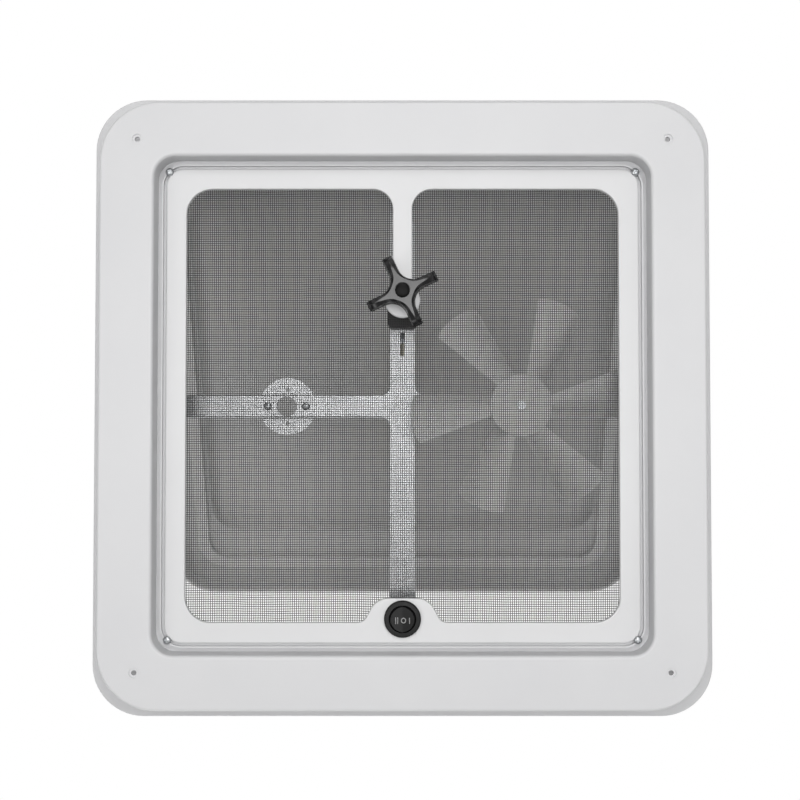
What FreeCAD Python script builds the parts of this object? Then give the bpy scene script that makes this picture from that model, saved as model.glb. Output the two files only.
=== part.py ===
import FreeCAD, Part
import math
import os
import Sketcher

# Camper roof vent with a crank-opened lid and a small extractor fan.
# Millimetres. +Z points up out of the roof, the origin is the centre of the roof opening on the
# plane where the roof flange seats, the lid is hinged on the +Y side and the fan hangs at -X.

Vector = FreeCAD.Vector
Rotation = FreeCAD.Rotation
Placement = FreeCAD.Placement

SIZES = {
    # roof base: flange on the roof, neck through the opening, curb under the lid
    "roof_opening": 355.6,
    "neck_fit": 1.8,
    "neck_wall": 2.0,
    "neck_corner": 19.0,
    "neck_below": 30.0,
    "curb_height": 50.0,
    "curb_lip": 5.0,
    "lip_thick": 2.0,
    "flange_rim": 46.5,
    "flange_corner": 37.0,
    "flange_thick": 3.5,
    "flange_round": 1.0,
    "roof_screw_hole": 4.6,
    "roof_screw_inset": 14.0,
    "roof_screw_near": 65.0,
    "roof_screw_far": 175.0,
    # garnish: the trim ring under the ceiling
    "roof_thick": 40.0,
    "garnish_rim": 33.2,
    "garnish_corner": 41.0,
    "garnish_thick": 3.0,
    "garnish_fit": 0.5,
    "garnish_wall": 2.0,
    "garnish_neck": 29.0,
    "garnish_round": 2.0,
    "mouth_round": 2.4,
    "ledge_thick": 2.5,
    "ledge_cover": 5.8,
    "rib_gap": 2.2,
    "rib_thick": 1.2,
    "rib_height": 3.0,
    "pilot_inset": 11.5,
    "pilot_hole": 3.6,
    "pilot_dimple": 7.0,
    "dimple_depth": 0.7,
    # screen frame with its tongue, boss and switch bump
    "frame_recess": 13.5,
    "frame_thick": 3.5,
    "frame_groove": 6.2,
    "frame_corner": 12.0,
    "frame_round": 0.9,
    "rail_width": 14.2,
    "window_corner": 18.0,
    "tongue_width": 13.4,
    "tongue_root": 14.0,
    "boss_radius": 12.3,
    "boss_drop": 16.2,
    "boss_neck_round": 2.6,
    "bump_rise": 16.7,
    "bump_top": 36.0,
    "bump_base": 54.0,
    "bump_corner": 14.0,
    "bump_round": 7.0,
    "frame_screw_inset": 2.2,
    # insect screen and the strip that clamps it
    "net_thick": 0.6,
    "net_strand": 1.5,
    "net_edge": 6.0,
    "net_corner": 10.0,
    "net_columns": 17,
    "net_rows": 15,
    "retainer_thick": 1.4,
    "retainer_width": 5.0,
    # cross bracket
    "bracket_level": 15.0,
    "bracket_height": 7.0,
    "bracket_sheet": 1.6,
    "post_width": 19.5,
    "arm_width": 17.0,
    "bracket_fillet": 7.0,
    "bracket_round": 1.0,
    "wall_gap": 0.3,
    "tab_height": 14.0,
    "slot_width": 3.4,
    "slot_length": 17.0,
    "slot_offset": 45.5,
    # fan, motor and their seats
    "fan_offset": 85.0,
    "seat_radius": 21.0,
    "seat_thick": 2.0,
    "seat_hole": 15.0,
    "seat_rivet_offset": 14.0,
    "motor_radius": 17.0,
    "motor_length": 24.0,
    "motor_wall": 1.2,
    "motor_boss": 13.4,
    "motor_boss_drop": 6.0,
    "motor_screw_offset": 12.4,
    "end_cap_thick": 4.0,
    "bush_wall": 2.3,
    "shaft_radius": 1.6,
    "running_fit": 0.06,
    "press_gap": 0.02,
    "magnet_thick": 2.8,
    "magnet_angle": 140.0,
    "air_gap": 0.6,
    "fan_radius": 80.0,
    "hub_radius": 22.0,
    "hub_height": 15.0,
    "hub_wall": 2.6,
    "hub_round": 1.6,
    "hub_gap": 8.0,
    "blade_thick": 1.8,
    "blade_root": 17.0,
    "blade_tip": 34.0,
    "blade_pitch_root": 9.0,
    "blade_pitch_tip": 11.0,
    "blade_round": 3.0,
    "blade_angle": 8.5,
    # crank, worm gear and lift arm
    "crank_offset": 77.0,
    "crank_radius": 4.0,
    "knob_radius": 25.4,
    "knob_arm": 6.4,
    "knob_waist": 8.8,
    "knob_corner": 0.9,
    "knob_thick": 10.0,
    "knob_proud": 13.0,
    "knob_bevel": 2.1,
    "knob_round": 1.2,
    "knob_stem": 7.0,
    "knob_angle": 25.0,
    "knob_screw": 5.0,
    "stem_gap": 0.3,
    "gear_module": 1.0,
    "gear_teeth": 24,
    "gear_thick": 3.0,
    "worm_radius": 5.0,
    "tooth_share": 0.36,
    "gear_level": 30.0,
    "worm_turns": 4,
    "arm_thick": 3.0,
    "arm_hub": 7.4,
    "arm_end": 3.4,
    "pivot_radius": 2.5,
    "glide_radius": 3.5,
    "glide_width": 4.2,
    "glide_axle": 1.6,
    # operator block and housing
    "block_width": 21.0,
    "block_drop": 20.5,
    "block_rise": 7.0,
    "ear_reach": 21.5,
    "ear_width": 11.0,
    "block_height": 17.0,
    "block_round": 3.0,
    "house_wall": 2.8,
    "house_plate": 3.0,
    "house_roof": 3.0,
    "cheek_radius": 5.5,
    "worm_room": 1.1,
    "gear_room": 0.7,
    # lid, its hinge and its track
    "hinge_inset": 8.0,
    "hinge_drop": 2.0,
    "hinge_spread": 120.0,
    "hinge_pin": 2.5,
    "ear_radius": 5.0,
    "ear_thick": 4.0,
    "ear_gap": 0.4,
    "knuckle_width": 29.0,
    "knuckle_radius": 4.6,
    "lid_open_angle": 27.0,
    "lid_most_angle": 50.0,
    "lid_overhang": 22.0,
    "lid_corner": 34.0,
    "lid_wall": 2.5,
    "lid_clear": 6.5,
    "lid_skirt": 8.0,
    "lid_round": 2.0,
    "plateau_rise": 7.5,
    "plateau_width": 344.0,
    "plateau_free": 54.0,
    "plateau_hinge": 43.0,
    "plateau_corner": 26.0,
    "plateau_round": 4.0,
    "seal_width": 10.0,
    "seal_gap": 0.3,
    "track_wall": 1.2,
    "track_slot": 5.0,
    "track_room": 12.8,
    "track_end": 4.0,
    "glide_gap": 0.3,
    "track_screw_length": 9.0,
    "rivet_radius": 1.6,
    "rivet_head": 3.0,
    "rivet_cap": 1.2,
    # rocker switch
    "switch_rise": 2.7,
    "bezel_radius": 12.8,
    "bezel_thick": 2.5,
    "barrel_radius": 10.5,
    "barrel_depth": 19.0,
    "panel_fit": 0.1,
    "rocker_radius": 9.2,
    "rocker_gap": 0.3,
    "rocker_tilt_angle": 10.0,
    "rocker_pin": 1.2,
    "terminal_width": 4.0,
    "terminal_thick": 0.8,
    "terminal_length": 6.0,
    # small screws
    "screw_radius": 1.5,
    "screw_head": 2.9,
    "screw_cap": 1.8,
    # leads from the motor to the switch, laid in the bracket's channel
    "lead_radius": 1.0,
    "lead_spread": 6.0,
    "lead_lift": 0.8,
    "lead_hole": 15.0,
    "lead_run": 55.0,
    "lead_bend": 8.0,
    "lead_drop": 10.0,
    "lead_slack": 5.0,
}

doc = FreeCAD.newDocument("roof_vent_fan")
sheet = doc.addObject("Spreadsheet::Sheet", "Sizes")


class Size:
    """A number together with the sheet expression that gives it."""

    def __init__(self, number, text):
        self.number = float(number)
        self.text = text

    def join(self, other, sign, number):
        return Size(number, f"({self.text} {sign} {as_size(other).text})")

    def __add__(self, other):
        return self.join(other, "+", self.number + as_size(other).number)

    def __sub__(self, other):
        return self.join(other, "-", self.number - as_size(other).number)

    def __mul__(self, other):
        return self.join(other, "*", self.number * as_size(other).number)

    def __truediv__(self, other):
        return self.join(other, "/", self.number / as_size(other).number)

    def __radd__(self, other):
        return as_size(other) + self

    def __rsub__(self, other):
        return as_size(other) - self

    def __rmul__(self, other):
        return as_size(other) * self

    def __neg__(self):
        return 0 - self


def as_size(value):
    if isinstance(value, Size):
        return value
    return Size(value, repr(float(value)))


class SheetSizes:
    """The sheet's cells by name, each as a Size."""

    def __init__(self):
        for row, (alias, number) in enumerate(SIZES.items(), start=1):
            sheet.set(f"A{row}", alias)
            sheet.set(f"B{row}", str(number))
            sheet.setAlias(f"B{row}", alias)
            setattr(self, alias, Size(number, f"Sizes.{alias}"))
        doc.recompute()


S = SheetSizes()

# Derived sizes that several pieces share
neck_outer = S.roof_opening / 2 - S.neck_fit
neck_inner = neck_outer - S.neck_wall
neck_inner_corner = S.neck_corner - S.neck_wall
flange_half = neck_outer + S.flange_rim
garnish_half = neck_outer + S.garnish_rim
garnish_back = -S.roof_thick
face_level = garnish_back - S.garnish_thick
garnish_outer = neck_inner - S.garnish_fit
garnish_inner = garnish_outer - S.garnish_wall
garnish_corner_out = neck_inner_corner - S.garnish_fit
garnish_corner_in = garnish_corner_out - S.garnish_wall
frame_half = garnish_inner - S.frame_groove
frame_front = face_level + S.frame_recess
frame_back = frame_front + S.frame_thick
window_half = frame_half - S.rail_width
frame_screw_at = frame_half - S.frame_screw_inset
switch_y = -(window_half - S.switch_rise)
net_half = window_half + S.net_edge
net_back = frame_back + S.net_thick
bracket_top = S.bracket_level + S.bracket_height
web_top = S.bracket_level + S.bracket_sheet
bracket_end = neck_inner - S.wall_gap
tab_hole_level = bracket_top + S.tab_height / 2
seat_top = bracket_top + S.seat_thick
can_top = seat_top + S.motor_length
cap_top = can_top + S.end_cap_thick
bush_radius = S.shaft_radius + S.running_fit + S.bush_wall
hub_front = S.bracket_level - S.hub_gap - S.hub_height
gear_radius = S.gear_module * S.gear_teeth / 2
gear_tip = gear_radius + 0.9 * S.gear_module
gear_root = gear_radius - 1.4 * S.gear_module
worm_tip = S.worm_radius + 0.9 * S.gear_module
worm_root = S.worm_radius - 1.2 * S.gear_module
pivot_y = S.crank_offset - gear_radius - S.worm_radius
worm_pitch = S.gear_module * math.pi
thread_low = S.gear_level - worm_pitch * (S.worm_turns / 2 - 0.25)
thread_high = S.gear_level + worm_pitch * (S.worm_turns / 2 + 0.25)
worm_low = thread_low - 1.2 * S.gear_module
worm_high = thread_high + 1.2 * S.gear_module
house_top = worm_high + S.house_roof
block_low = S.bracket_level - S.block_height
knob_front = face_level - S.knob_proud
knob_back = knob_front + S.knob_thick
arm_center = S.gear_thick / 2 + S.arm_thick / 2
lid_half = neck_outer + S.curb_lip + S.lid_overhang
hinge_offset = lid_half - S.hinge_inset
hinge_level = S.curb_height - S.hinge_drop
plateau_inner = S.lid_clear + S.plateau_rise
plateau_outer = plateau_inner + S.lid_wall
rocker_level = frame_front - S.bezel_thick / 5

# The arm is as long as the hinge is far from its pivot, so it turns exactly twice as far as the lid
reach_y = hinge_offset.number - pivot_y.number
reach_z = hinge_level.number - S.gear_level.number
arm_length = math.hypot(reach_y, reach_z)
arm_rise = math.degrees(math.atan2(reach_z, reach_y))


def glide_distance(opening):
    """How far the glide stands from the lid's hinge axis at an opening angle in degrees."""
    return 2 * arm_length * math.cos(math.radians(opening + arm_rise))


track_near = glide_distance(S.lid_most_angle.number) - S.glide_radius.number - S.track_end.number
track_far = glide_distance(0) + S.glide_radius.number + S.track_end.number

lid_place = Placement(
    Vector(0, hinge_offset.number, hinge_level.number),
    Rotation(Vector(-1, 0, 0), S.lid_open_angle.number),
)
arm_place = Placement(
    Vector(0, pivot_y.number, S.gear_level.number),
    Rotation(Vector(-1, 0, 0), 2 * S.lid_open_angle.number + arm_rise),
)
fan_place = Placement(
    Vector(-S.fan_offset.number, 0, 0),
    Rotation(Vector(0, 0, 1), 180 - S.blade_angle.number),
)
motor_place = Placement(Vector(-S.fan_offset.number, 0, 0), Rotation())
knob_place = Placement(Vector(0, S.crank_offset.number, 0), Rotation(Vector(0, 0, 1), -S.knob_angle.number))
crank_place = Placement(Vector(0, S.crank_offset.number, 0), Rotation())
switch_place = Placement(Vector(0, switch_y.number, 0), Rotation())

nodes = []


def keep(feature):
    """List a finished sub-part for checking and export."""
    nodes.append(feature)
    return feature


def new_body(label):
    body = doc.addObject("PartDesign::Body", label)
    body.Label = label
    return body


def origin_plane(body, role):
    planes = [feature for feature in body.Origin.OriginFeatures if feature.Role == role]
    return planes[0]


def new_sketch(body, role, offset):
    """A sketch on one of the body's own planes, moved along the plane's normal."""
    sketch = body.newObject("Sketcher::SketchObject", body.Name + "_sketch")
    sketch.AttachmentSupport = [(origin_plane(body, role), "")]
    sketch.MapMode = "FlatFace"
    sketch.setExpression("AttachmentOffset.Base.z", as_size(offset).text)
    return sketch


def constrain(sketch, kind, *terms):
    """Add a driving constraint whose last term is a Size."""
    size = as_size(terms[-1])
    index = sketch.addConstraint(Sketcher.Constraint(kind, *terms[:-1], size.number))
    sketch.setExpression(f"Constraints[{index}]", size.text)


def place_point(sketch, geometry, end, x, y):
    constrain(sketch, "DistanceX", -1, 1, geometry, end, x)
    constrain(sketch, "DistanceY", -1, 1, geometry, end, y)


def draw_polygon(sketch, points):
    """A closed outline of straight lines through points given as Sizes."""
    points = [(as_size(x), as_size(y)) for x, y in points]
    first = sketch.GeometryCount
    for start, stop in zip(points, points[1:] + points[:1]):
        start_vector = Vector(start[0].number, start[1].number, 0)
        stop_vector = Vector(stop[0].number, stop[1].number, 0)
        sketch.addGeometry(Part.LineSegment(start_vector, stop_vector))
    for step, (x, y) in enumerate(points):
        following = first + (step + 1) % len(points)
        sketch.addConstraint(Sketcher.Constraint("Coincident", first + step, 2, following, 1))
        place_point(sketch, first + step, 1, x, y)


def draw_rectangle(sketch, x_low, x_high, y_low, y_high):
    draw_polygon(sketch, [(x_low, y_low), (x_high, y_low), (x_high, y_high), (x_low, y_high)])


def draw_circle(sketch, x, y, radius):
    x, y, radius = as_size(x), as_size(y), as_size(radius)
    circle = Part.Circle(Vector(x.number, y.number, 0), Vector(0, 0, 1), radius.number)
    index = sketch.addGeometry(circle)
    place_point(sketch, index, 3, x, y)
    constrain(sketch, "Radius", index, radius)


def draw_rounded(sketch, x_low, x_high, y_low, y_high, corner):
    """A rectangle with round corners: four lines joined by four tangent arcs."""
    x_low, x_high, y_low, y_high, corner = (as_size(v) for v in (x_low, x_high, y_low, y_high, corner))
    left, right = x_low.number, x_high.number
    bottom, top = y_low.number, y_high.number
    radius = corner.number
    first = sketch.GeometryCount
    runs = [
        ((left + radius, bottom), (right - radius, bottom)),
        ((right, bottom + radius), (right, top - radius)),
        ((right - radius, top), (left + radius, top)),
        ((left, top - radius), (left, bottom + radius)),
    ]
    for start, stop in runs:
        sketch.addGeometry(Part.LineSegment(Vector(*start, 0), Vector(*stop, 0)))
    centers = [
        (right - radius, bottom + radius),
        (right - radius, top - radius),
        (left + radius, top - radius),
        (left + radius, bottom + radius),
    ]
    for step, center in enumerate(centers):
        circle = Part.Circle(Vector(*center, 0), Vector(0, 0, 1), radius)
        start_angle = (step - 1) * math.pi / 2
        sketch.addGeometry(Part.ArcOfCircle(circle, start_angle, start_angle + math.pi / 2))
    for step in range(4):
        arc = first + 4 + step
        sketch.addConstraint(Sketcher.Constraint("Tangent", first + step, 2, arc, 1))
        sketch.addConstraint(Sketcher.Constraint("Tangent", arc, 2, first + (step + 1) % 4, 1))
    for step in range(1, 4):
        sketch.addConstraint(Sketcher.Constraint("Equal", first + 4, first + 4 + step))
    for step in (0, 2):
        sketch.addConstraint(Sketcher.Constraint("Horizontal", first + step))
    for step in (1, 3):
        sketch.addConstraint(Sketcher.Constraint("Vertical", first + step))
    constrain(sketch, "Radius", first + 4, corner)
    constrain(sketch, "DistanceY", -1, 1, first, 1, y_low)
    constrain(sketch, "DistanceX", -1, 1, first + 1, 1, x_high)
    constrain(sketch, "DistanceY", -1, 1, first + 2, 1, y_high)
    constrain(sketch, "DistanceX", -1, 1, first + 3, 1, x_low)


def draw_square(sketch, half, corner, center_y=0):
    draw_rounded(sketch, -half, half, center_y - half, center_y + half, corner)


def add_pad(body, sketch, height):
    pad = body.newObject("PartDesign::Pad", body.Name + "_pad")
    pad.Profile = sketch
    pad.setExpression("Length", as_size(height).text)
    return pad


def add_pocket(body, sketch, depth):
    """Cut against the sketch's normal, and make sure that material really came off."""
    doc.recompute()
    before = body.Shape.Volume
    pocket = body.newObject("PartDesign::Pocket", body.Name + "_pocket")
    pocket.Profile = sketch
    pocket.setExpression("Length", as_size(depth).text)
    doc.recompute()
    if not body.Shape.Volume < before:
        raise RuntimeError(f"a pocket in {body.Label} cuts nothing")
    return pocket


def pad_ring(body, level, height, outer, inner, center_y=0):
    """A square ring: outer and inner are (half width, corner radius)."""
    sketch = new_sketch(body, "XY_Plane", level)
    draw_square(sketch, outer[0], outer[1], center_y)
    draw_square(sketch, inner[0], inner[1], center_y)
    return add_pad(body, sketch, height)


def pad_box(body, x_low, x_high, y_low, y_high, z_low, z_high):
    sketch = new_sketch(body, "XY_Plane", z_low)
    draw_rectangle(sketch, x_low, x_high, y_low, y_high)
    return add_pad(body, sketch, z_high - z_low)


def cut_box(body, x_low, x_high, y_low, y_high, z_low, z_high):
    sketch = new_sketch(body, "XY_Plane", z_high)
    draw_rectangle(sketch, x_low, x_high, y_low, y_high)
    return add_pocket(body, sketch, z_high - z_low)


def cut_holes(body, top, depth, holes):
    """Round holes straight down from a level: each is (x, y, radius)."""
    sketch = new_sketch(body, "XY_Plane", top)
    for x, y, radius in holes:
        draw_circle(sketch, x, y, radius)
    return add_pocket(body, sketch, depth)


def add_fillet(body, radius, wanted):
    """Round the edges of the body's tip whose middle point passes the test."""
    doc.recompute()
    tip = body.Tip
    names = []
    for number, edge in enumerate(tip.Shape.Edges, start=1):
        middle = edge.valueAt((edge.FirstParameter + edge.LastParameter) / 2)
        if wanted(edge, middle):
            names.append(f"Edge{number}")
    if not names:
        raise RuntimeError(f"no edge to round in {body.Label}")
    fillet = body.newObject("PartDesign::Fillet", body.Name + "_fillet")
    fillet.Base = (tip, names)
    fillet.setExpression("Radius", as_size(radius).text)
    doc.recompute()
    return fillet


def near(value, size):
    return abs(value - as_size(size).number) < 0.01


def lies_flat(edge, level):
    """True for an edge that lies in the level plane z = level."""
    box = edge.BoundBox
    return near(box.ZMin, level) and near(box.ZMax, level)


def stands_at(edge, middle, x, y):
    """True for an upright edge over (+-x, y)."""
    upright = edge.BoundBox.ZLength > 0.5
    return upright and near(abs(middle.x), x) and near(middle.y, y)


def turned(label, points, place=Placement()):
    """A lathe-turned piece from its half section, given as (radius, level) points."""
    body = new_body(label)
    sketch = new_sketch(body, "XZ_Plane", 0)
    draw_polygon(sketch, points)
    turn = body.newObject("PartDesign::Revolution", label + "_turn")
    turn.Profile = sketch
    turn.ReferenceAxis = (sketch, ["V_Axis"])
    turn.Angle = 360
    doc.recompute()
    body.Placement = place
    return body


def feature_of(label, shape, place=Placement()):
    feature = doc.addObject("Part::Feature", label)
    feature.Label = label
    feature.Shape = shape
    feature.Placement = place.multiply(feature.Placement)
    return feature


def group_of(label, seed, places, place=Placement()):
    """Several equal pieces as one node of separate solids."""
    doc.recompute()
    solids = []
    for spot in places:
        solid = seed.Shape.copy()
        solid.Placement = spot.multiply(solid.Placement)
        solids.append(solid)
    return feature_of(label, Part.makeCompound(solids), place)


def screw_points(length):
    """Half section of a pan-head screw: head below z = 0, shank up to the length."""
    rim = S.screw_cap * 0.35
    return [
        (0, -S.screw_cap),
        (S.screw_head * 0.6, -S.screw_cap),
        (S.screw_head, -rim),
        (S.screw_head, 0),
        (S.screw_radius, 0),
        (S.screw_radius, length),
        (0, length),
    ]


def rivet_points(grip):
    """Half section of a rivet with a cap at both ends of its grip, which starts at z = 0."""
    return [
        (0, -S.rivet_cap),
        (S.rivet_head * 0.7, -S.rivet_cap),
        (S.rivet_head, 0),
        (S.rivet_radius, 0),
        (S.rivet_radius, grip),
        (S.rivet_head, grip),
        (S.rivet_head * 0.7, grip + S.rivet_cap),
        (0, grip + S.rivet_cap),
    ]


def at(x, y, z):
    return Placement(Vector(as_size(x).number, as_size(y).number, as_size(z).number), Rotation())


def corner_spots(offset):
    """The four corners of a centred square, given half its side."""
    return [(x, y) for x in (-offset, offset) for y in (-offset, offset)]


def make_roof_base():
    body = new_body("roof_base")
    inner = (neck_inner, neck_inner_corner)
    lip = (neck_outer + S.curb_lip, S.neck_corner + S.curb_lip)
    pad_ring(body, 0, S.flange_thick, (flange_half, S.flange_corner), inner)
    pad_ring(body, -S.neck_below, S.neck_below + S.curb_height, (neck_outer, S.neck_corner), inner)
    pad_ring(body, S.curb_height - S.lip_thick, S.lip_thick, lip, inner)
    add_fillet(body, S.flange_round, lambda edge, middle: lies_flat(edge, 0) and is_outer(edge, flange_half))
    ear_foot = neck_outer - S.neck_wall / 2
    for x_low in ear_positions():
        sketch = new_sketch(body, "YZ_Plane", x_low)
        draw_polygon(sketch, [
            (ear_foot, hinge_level - 3 * S.ear_radius),
            (hinge_offset, hinge_level - S.ear_radius),
            (hinge_offset, hinge_level + S.ear_radius),
            (ear_foot, hinge_level - S.ear_radius / 3),
        ])
        add_pad(body, sketch, S.ear_thick)
        sketch = new_sketch(body, "YZ_Plane", x_low)
        draw_circle(sketch, hinge_offset, hinge_level, S.ear_radius)
        add_pad(body, sketch, S.ear_thick)
    pin_row = new_sketch(body, "YZ_Plane", flange_half)
    draw_circle(pin_row, hinge_offset, hinge_level, S.hinge_pin + S.press_gap)
    add_pocket(body, pin_row, 2 * flange_half)
    hole = S.screw_radius + S.press_gap
    side_row = new_sketch(body, "YZ_Plane", flange_half)
    draw_circle(side_row, 0, tab_hole_level, hole)
    add_pocket(body, side_row, 2 * flange_half)
    end_row = new_sketch(body, "XZ_Plane", flange_half)
    draw_circle(end_row, 0, tab_hole_level, hole)
    add_pocket(body, end_row, 2 * flange_half)
    edge_line = flange_half - S.roof_screw_inset
    spots = [(edge_line, along) for along in (S.roof_screw_near, S.roof_screw_far)]
    holes = []
    for across, along in spots:
        for x_sign in (-1, 1):
            for y_sign in (-1, 1):
                holes.append((x_sign * across, y_sign * along, S.roof_screw_hole / 2))
                holes.append((x_sign * along, y_sign * across, S.roof_screw_hole / 2))
    cut_holes(body, S.flange_thick, S.flange_thick, holes)
    return keep(body)


def is_outer(edge, half):
    """True for an edge of the outermost loop of a square of that half width."""
    box = edge.BoundBox
    reach = max(abs(box.XMin), abs(box.XMax), abs(box.YMin), abs(box.YMax))
    return near(reach, half)


def ear_positions():
    """Low x of each of the four hinge ears, two beside each knuckle."""
    inside = S.knuckle_width / 2 + S.ear_gap
    outside = inside + S.ear_thick
    return [
        -S.hinge_spread - outside,
        -S.hinge_spread + inside,
        S.hinge_spread - outside,
        S.hinge_spread + inside,
    ]


def make_hinge_pins():
    length = S.knuckle_width + 2 * S.ear_gap + 2 * S.ear_thick
    half = length / 2
    pin = turned("hinge_pin_seed", [(0, -half), (S.hinge_pin, -half), (S.hinge_pin, half), (0, half)])
    along_x = Rotation(Vector(0, 1, 0), 90)
    spread = S.hinge_spread.number
    places = [
        Placement(Vector(x, hinge_offset.number, hinge_level.number), along_x)
        for x in (-spread, spread)
    ]
    return keep(group_of("hinge_pins", pin, places))


def make_garnish():
    body = new_body("garnish")
    inner = (garnish_inner, garnish_corner_in)
    pad_ring(body, face_level, S.garnish_thick, (garnish_half, S.garnish_corner), inner)
    pad_ring(body, face_level, S.garnish_neck, (garnish_outer, garnish_corner_out), inner)
    ledge_inner = frame_half - S.ledge_cover
    wall_middle = garnish_inner + S.garnish_wall / 2
    wall_corner = garnish_corner_in + S.garnish_wall / 2
    pad_ring(body, frame_back, S.ledge_thick, (wall_middle, wall_corner), (ledge_inner, S.frame_corner))
    rib_half = frame_half + S.rib_gap
    rib_corner = S.frame_corner + S.rib_gap
    pad_ring(
        body, frame_back - S.rib_height, S.rib_height + S.ledge_thick / 2,
        (rib_half + S.rib_thick, rib_corner + S.rib_thick), (rib_half, rib_corner),
    )
    add_fillet(
        body, S.garnish_round,
        lambda edge, middle: lies_flat(edge, face_level) and is_outer(edge, garnish_half),
    )
    add_fillet(
        body, S.mouth_round,
        lambda edge, middle: lies_flat(edge, face_level) and is_outer_of(edge, garnish_inner),
    )
    pilots = corner_spots(garnish_inner + S.pilot_inset)
    cut_holes(body, garnish_back, S.garnish_thick, [(x, y, S.pilot_hole / 2) for x, y in pilots])
    cut_holes(
        body, face_level + S.dimple_depth, S.dimple_depth,
        [(x, y, S.pilot_dimple / 2) for x, y in pilots],
    )
    screw_hole = S.screw_radius + S.press_gap
    corners = corner_spots(frame_screw_at)
    cut_holes(
        body, frame_back + S.ledge_thick, S.ledge_thick + S.rib_height,
        [(x, y, screw_hole) for x, y in corners],
    )
    cut_holes(
        body, frame_back, S.rib_height,
        [(x, y, S.screw_head + S.press_gap) for x, y in corners],
    )
    return keep(body)


def is_outer_of(edge, half):
    """True for an edge of a loop whose half width is the given one, straight or corner."""
    box = edge.BoundBox
    reach = max(abs(box.XMin), abs(box.XMax), abs(box.YMin), abs(box.YMax))
    return abs(reach - half.number) < 0.3


def make_screen_frame():
    body = new_body("screen_frame")
    pad_ring(body, frame_front, S.frame_thick, (frame_half, S.frame_corner), (window_half, S.window_corner))
    half_tongue = S.tongue_width / 2
    overlap = S.rail_width / 2
    pad_box(body, -half_tongue, half_tongue, S.crank_offset, window_half + overlap, frame_front, frame_back)
    boss_middle = S.crank_offset - S.boss_drop + S.boss_radius
    sketch = new_sketch(body, "XY_Plane", frame_front)
    draw_circle(sketch, 0, boss_middle, S.boss_radius)
    add_pad(body, sketch, S.frame_thick)
    boss_high = boss_middle.number + math.sqrt(S.boss_radius.number ** 2 - half_tongue.number ** 2)
    sketch = new_sketch(body, "XY_Plane", frame_front)
    bump_level = -window_half + S.bump_rise
    draw_polygon(sketch, [
        (-S.bump_base / 2, -window_half),
        (-S.bump_base / 2, -window_half - overlap),
        (S.bump_base / 2, -window_half - overlap),
        (S.bump_base / 2, -window_half),
        (S.bump_top / 2, bump_level),
        (-S.bump_top / 2, bump_level),
    ])
    add_pad(body, sketch, S.frame_thick)
    add_fillet(body, S.tongue_root, lambda edge, middle: stands_at(edge, middle, half_tongue, window_half))
    add_fillet(body, S.boss_neck_round, lambda edge, middle: stands_at(edge, middle, half_tongue, boss_high))
    add_fillet(body, S.bump_corner, lambda edge, middle: stands_at(edge, middle, S.bump_top / 2, bump_level))
    add_fillet(body, S.bump_round, lambda edge, middle: stands_at(edge, middle, S.bump_base / 2, -window_half))
    add_fillet(body, S.frame_round, lambda edge, middle: lies_flat(edge, frame_front))
    cut_holes(body, frame_back, S.frame_thick, [
        (0, S.crank_offset, S.crank_radius + S.running_fit),
        (0, switch_y, S.barrel_radius + S.panel_fit),
    ])
    return keep(body)


def make_insect_screen():
    """A flat net of square gaps with room for the crank and the switch."""
    half = window_half.number
    edge = net_half.number
    strand = S.net_strand.number
    columns = round(S.net_columns.number)
    rows = round(S.net_rows.number)
    pitch_x = 2 * half / columns
    pitch_y = 2 * half / rows
    level = frame_back.number

    def outline(corners):
        return Part.makePolygon([Vector(x, y, level) for x, y in corners + corners[:1]])

    def square(x_low, x_high, y_low, y_high):
        return outline([(x_low, y_low), (x_high, y_low), (x_high, y_high), (x_low, y_high)])

    cut = edge - S.net_corner.number
    wires = [outline([
        (-cut, -edge), (cut, -edge), (edge, -cut), (edge, cut),
        (cut, edge), (-cut, edge), (-edge, cut), (-edge, -cut),
    ])]
    for column in range(columns):
        for row in range(rows):
            x_low = -half + column * pitch_x + strand / 2
            y_low = -half + row * pitch_y + strand / 2
            wires.append(square(x_low, x_low + pitch_x - strand, y_low, y_low + pitch_y - strand))
    net = Part.makeFace(wires, "Part::FaceMakerBullseye").extrude(Vector(0, 0, S.net_thick.number))
    down = Vector(0, 0, level - 1)
    crank_foot = down + Vector(0, S.crank_offset.number, 0)
    crank_room = Part.makeCylinder(S.crank_radius.number + strand, 4, crank_foot)
    switch_room = Part.makeCylinder(S.bezel_radius.number, 4, down + Vector(0, switch_y.number, 0))
    return keep(feature_of("insect_screen", net.cut(crank_room).cut(switch_room)))


def make_screen_retainer():
    body = new_body("screen_retainer")
    outer = net_half + S.retainer_width / 10
    inner = outer - S.retainer_width
    inner_corner = S.window_corner - S.retainer_width
    pad_ring(body, net_back, S.retainer_thick, (outer, S.window_corner), (inner, inner_corner))
    room = S.bezel_radius
    cut_box(body, -room, room, -outer - 1, -inner + 1, net_back, net_back + S.retainer_thick)
    return keep(body)


def make_frame_screws():
    length = S.frame_thick + S.ledge_thick + S.screw_cap
    seed = turned("frame_screw_seed", screw_points(length))
    places = [at(x, y, frame_front) for x, y in corner_spots(frame_screw_at)]
    return keep(group_of("screen_frame_screws", seed, places))


def cross_points(half_post, half_arm, end):
    """Outline of a plus sign, anticlockwise from the lower end of the post."""
    return [
        (-half_post, -end), (half_post, -end), (half_post, -half_arm),
        (end, -half_arm), (end, half_arm), (half_post, half_arm),
        (half_post, end), (-half_post, end), (-half_post, half_arm),
        (-end, half_arm), (-end, -half_arm), (-half_post, -half_arm),
    ]


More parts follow.
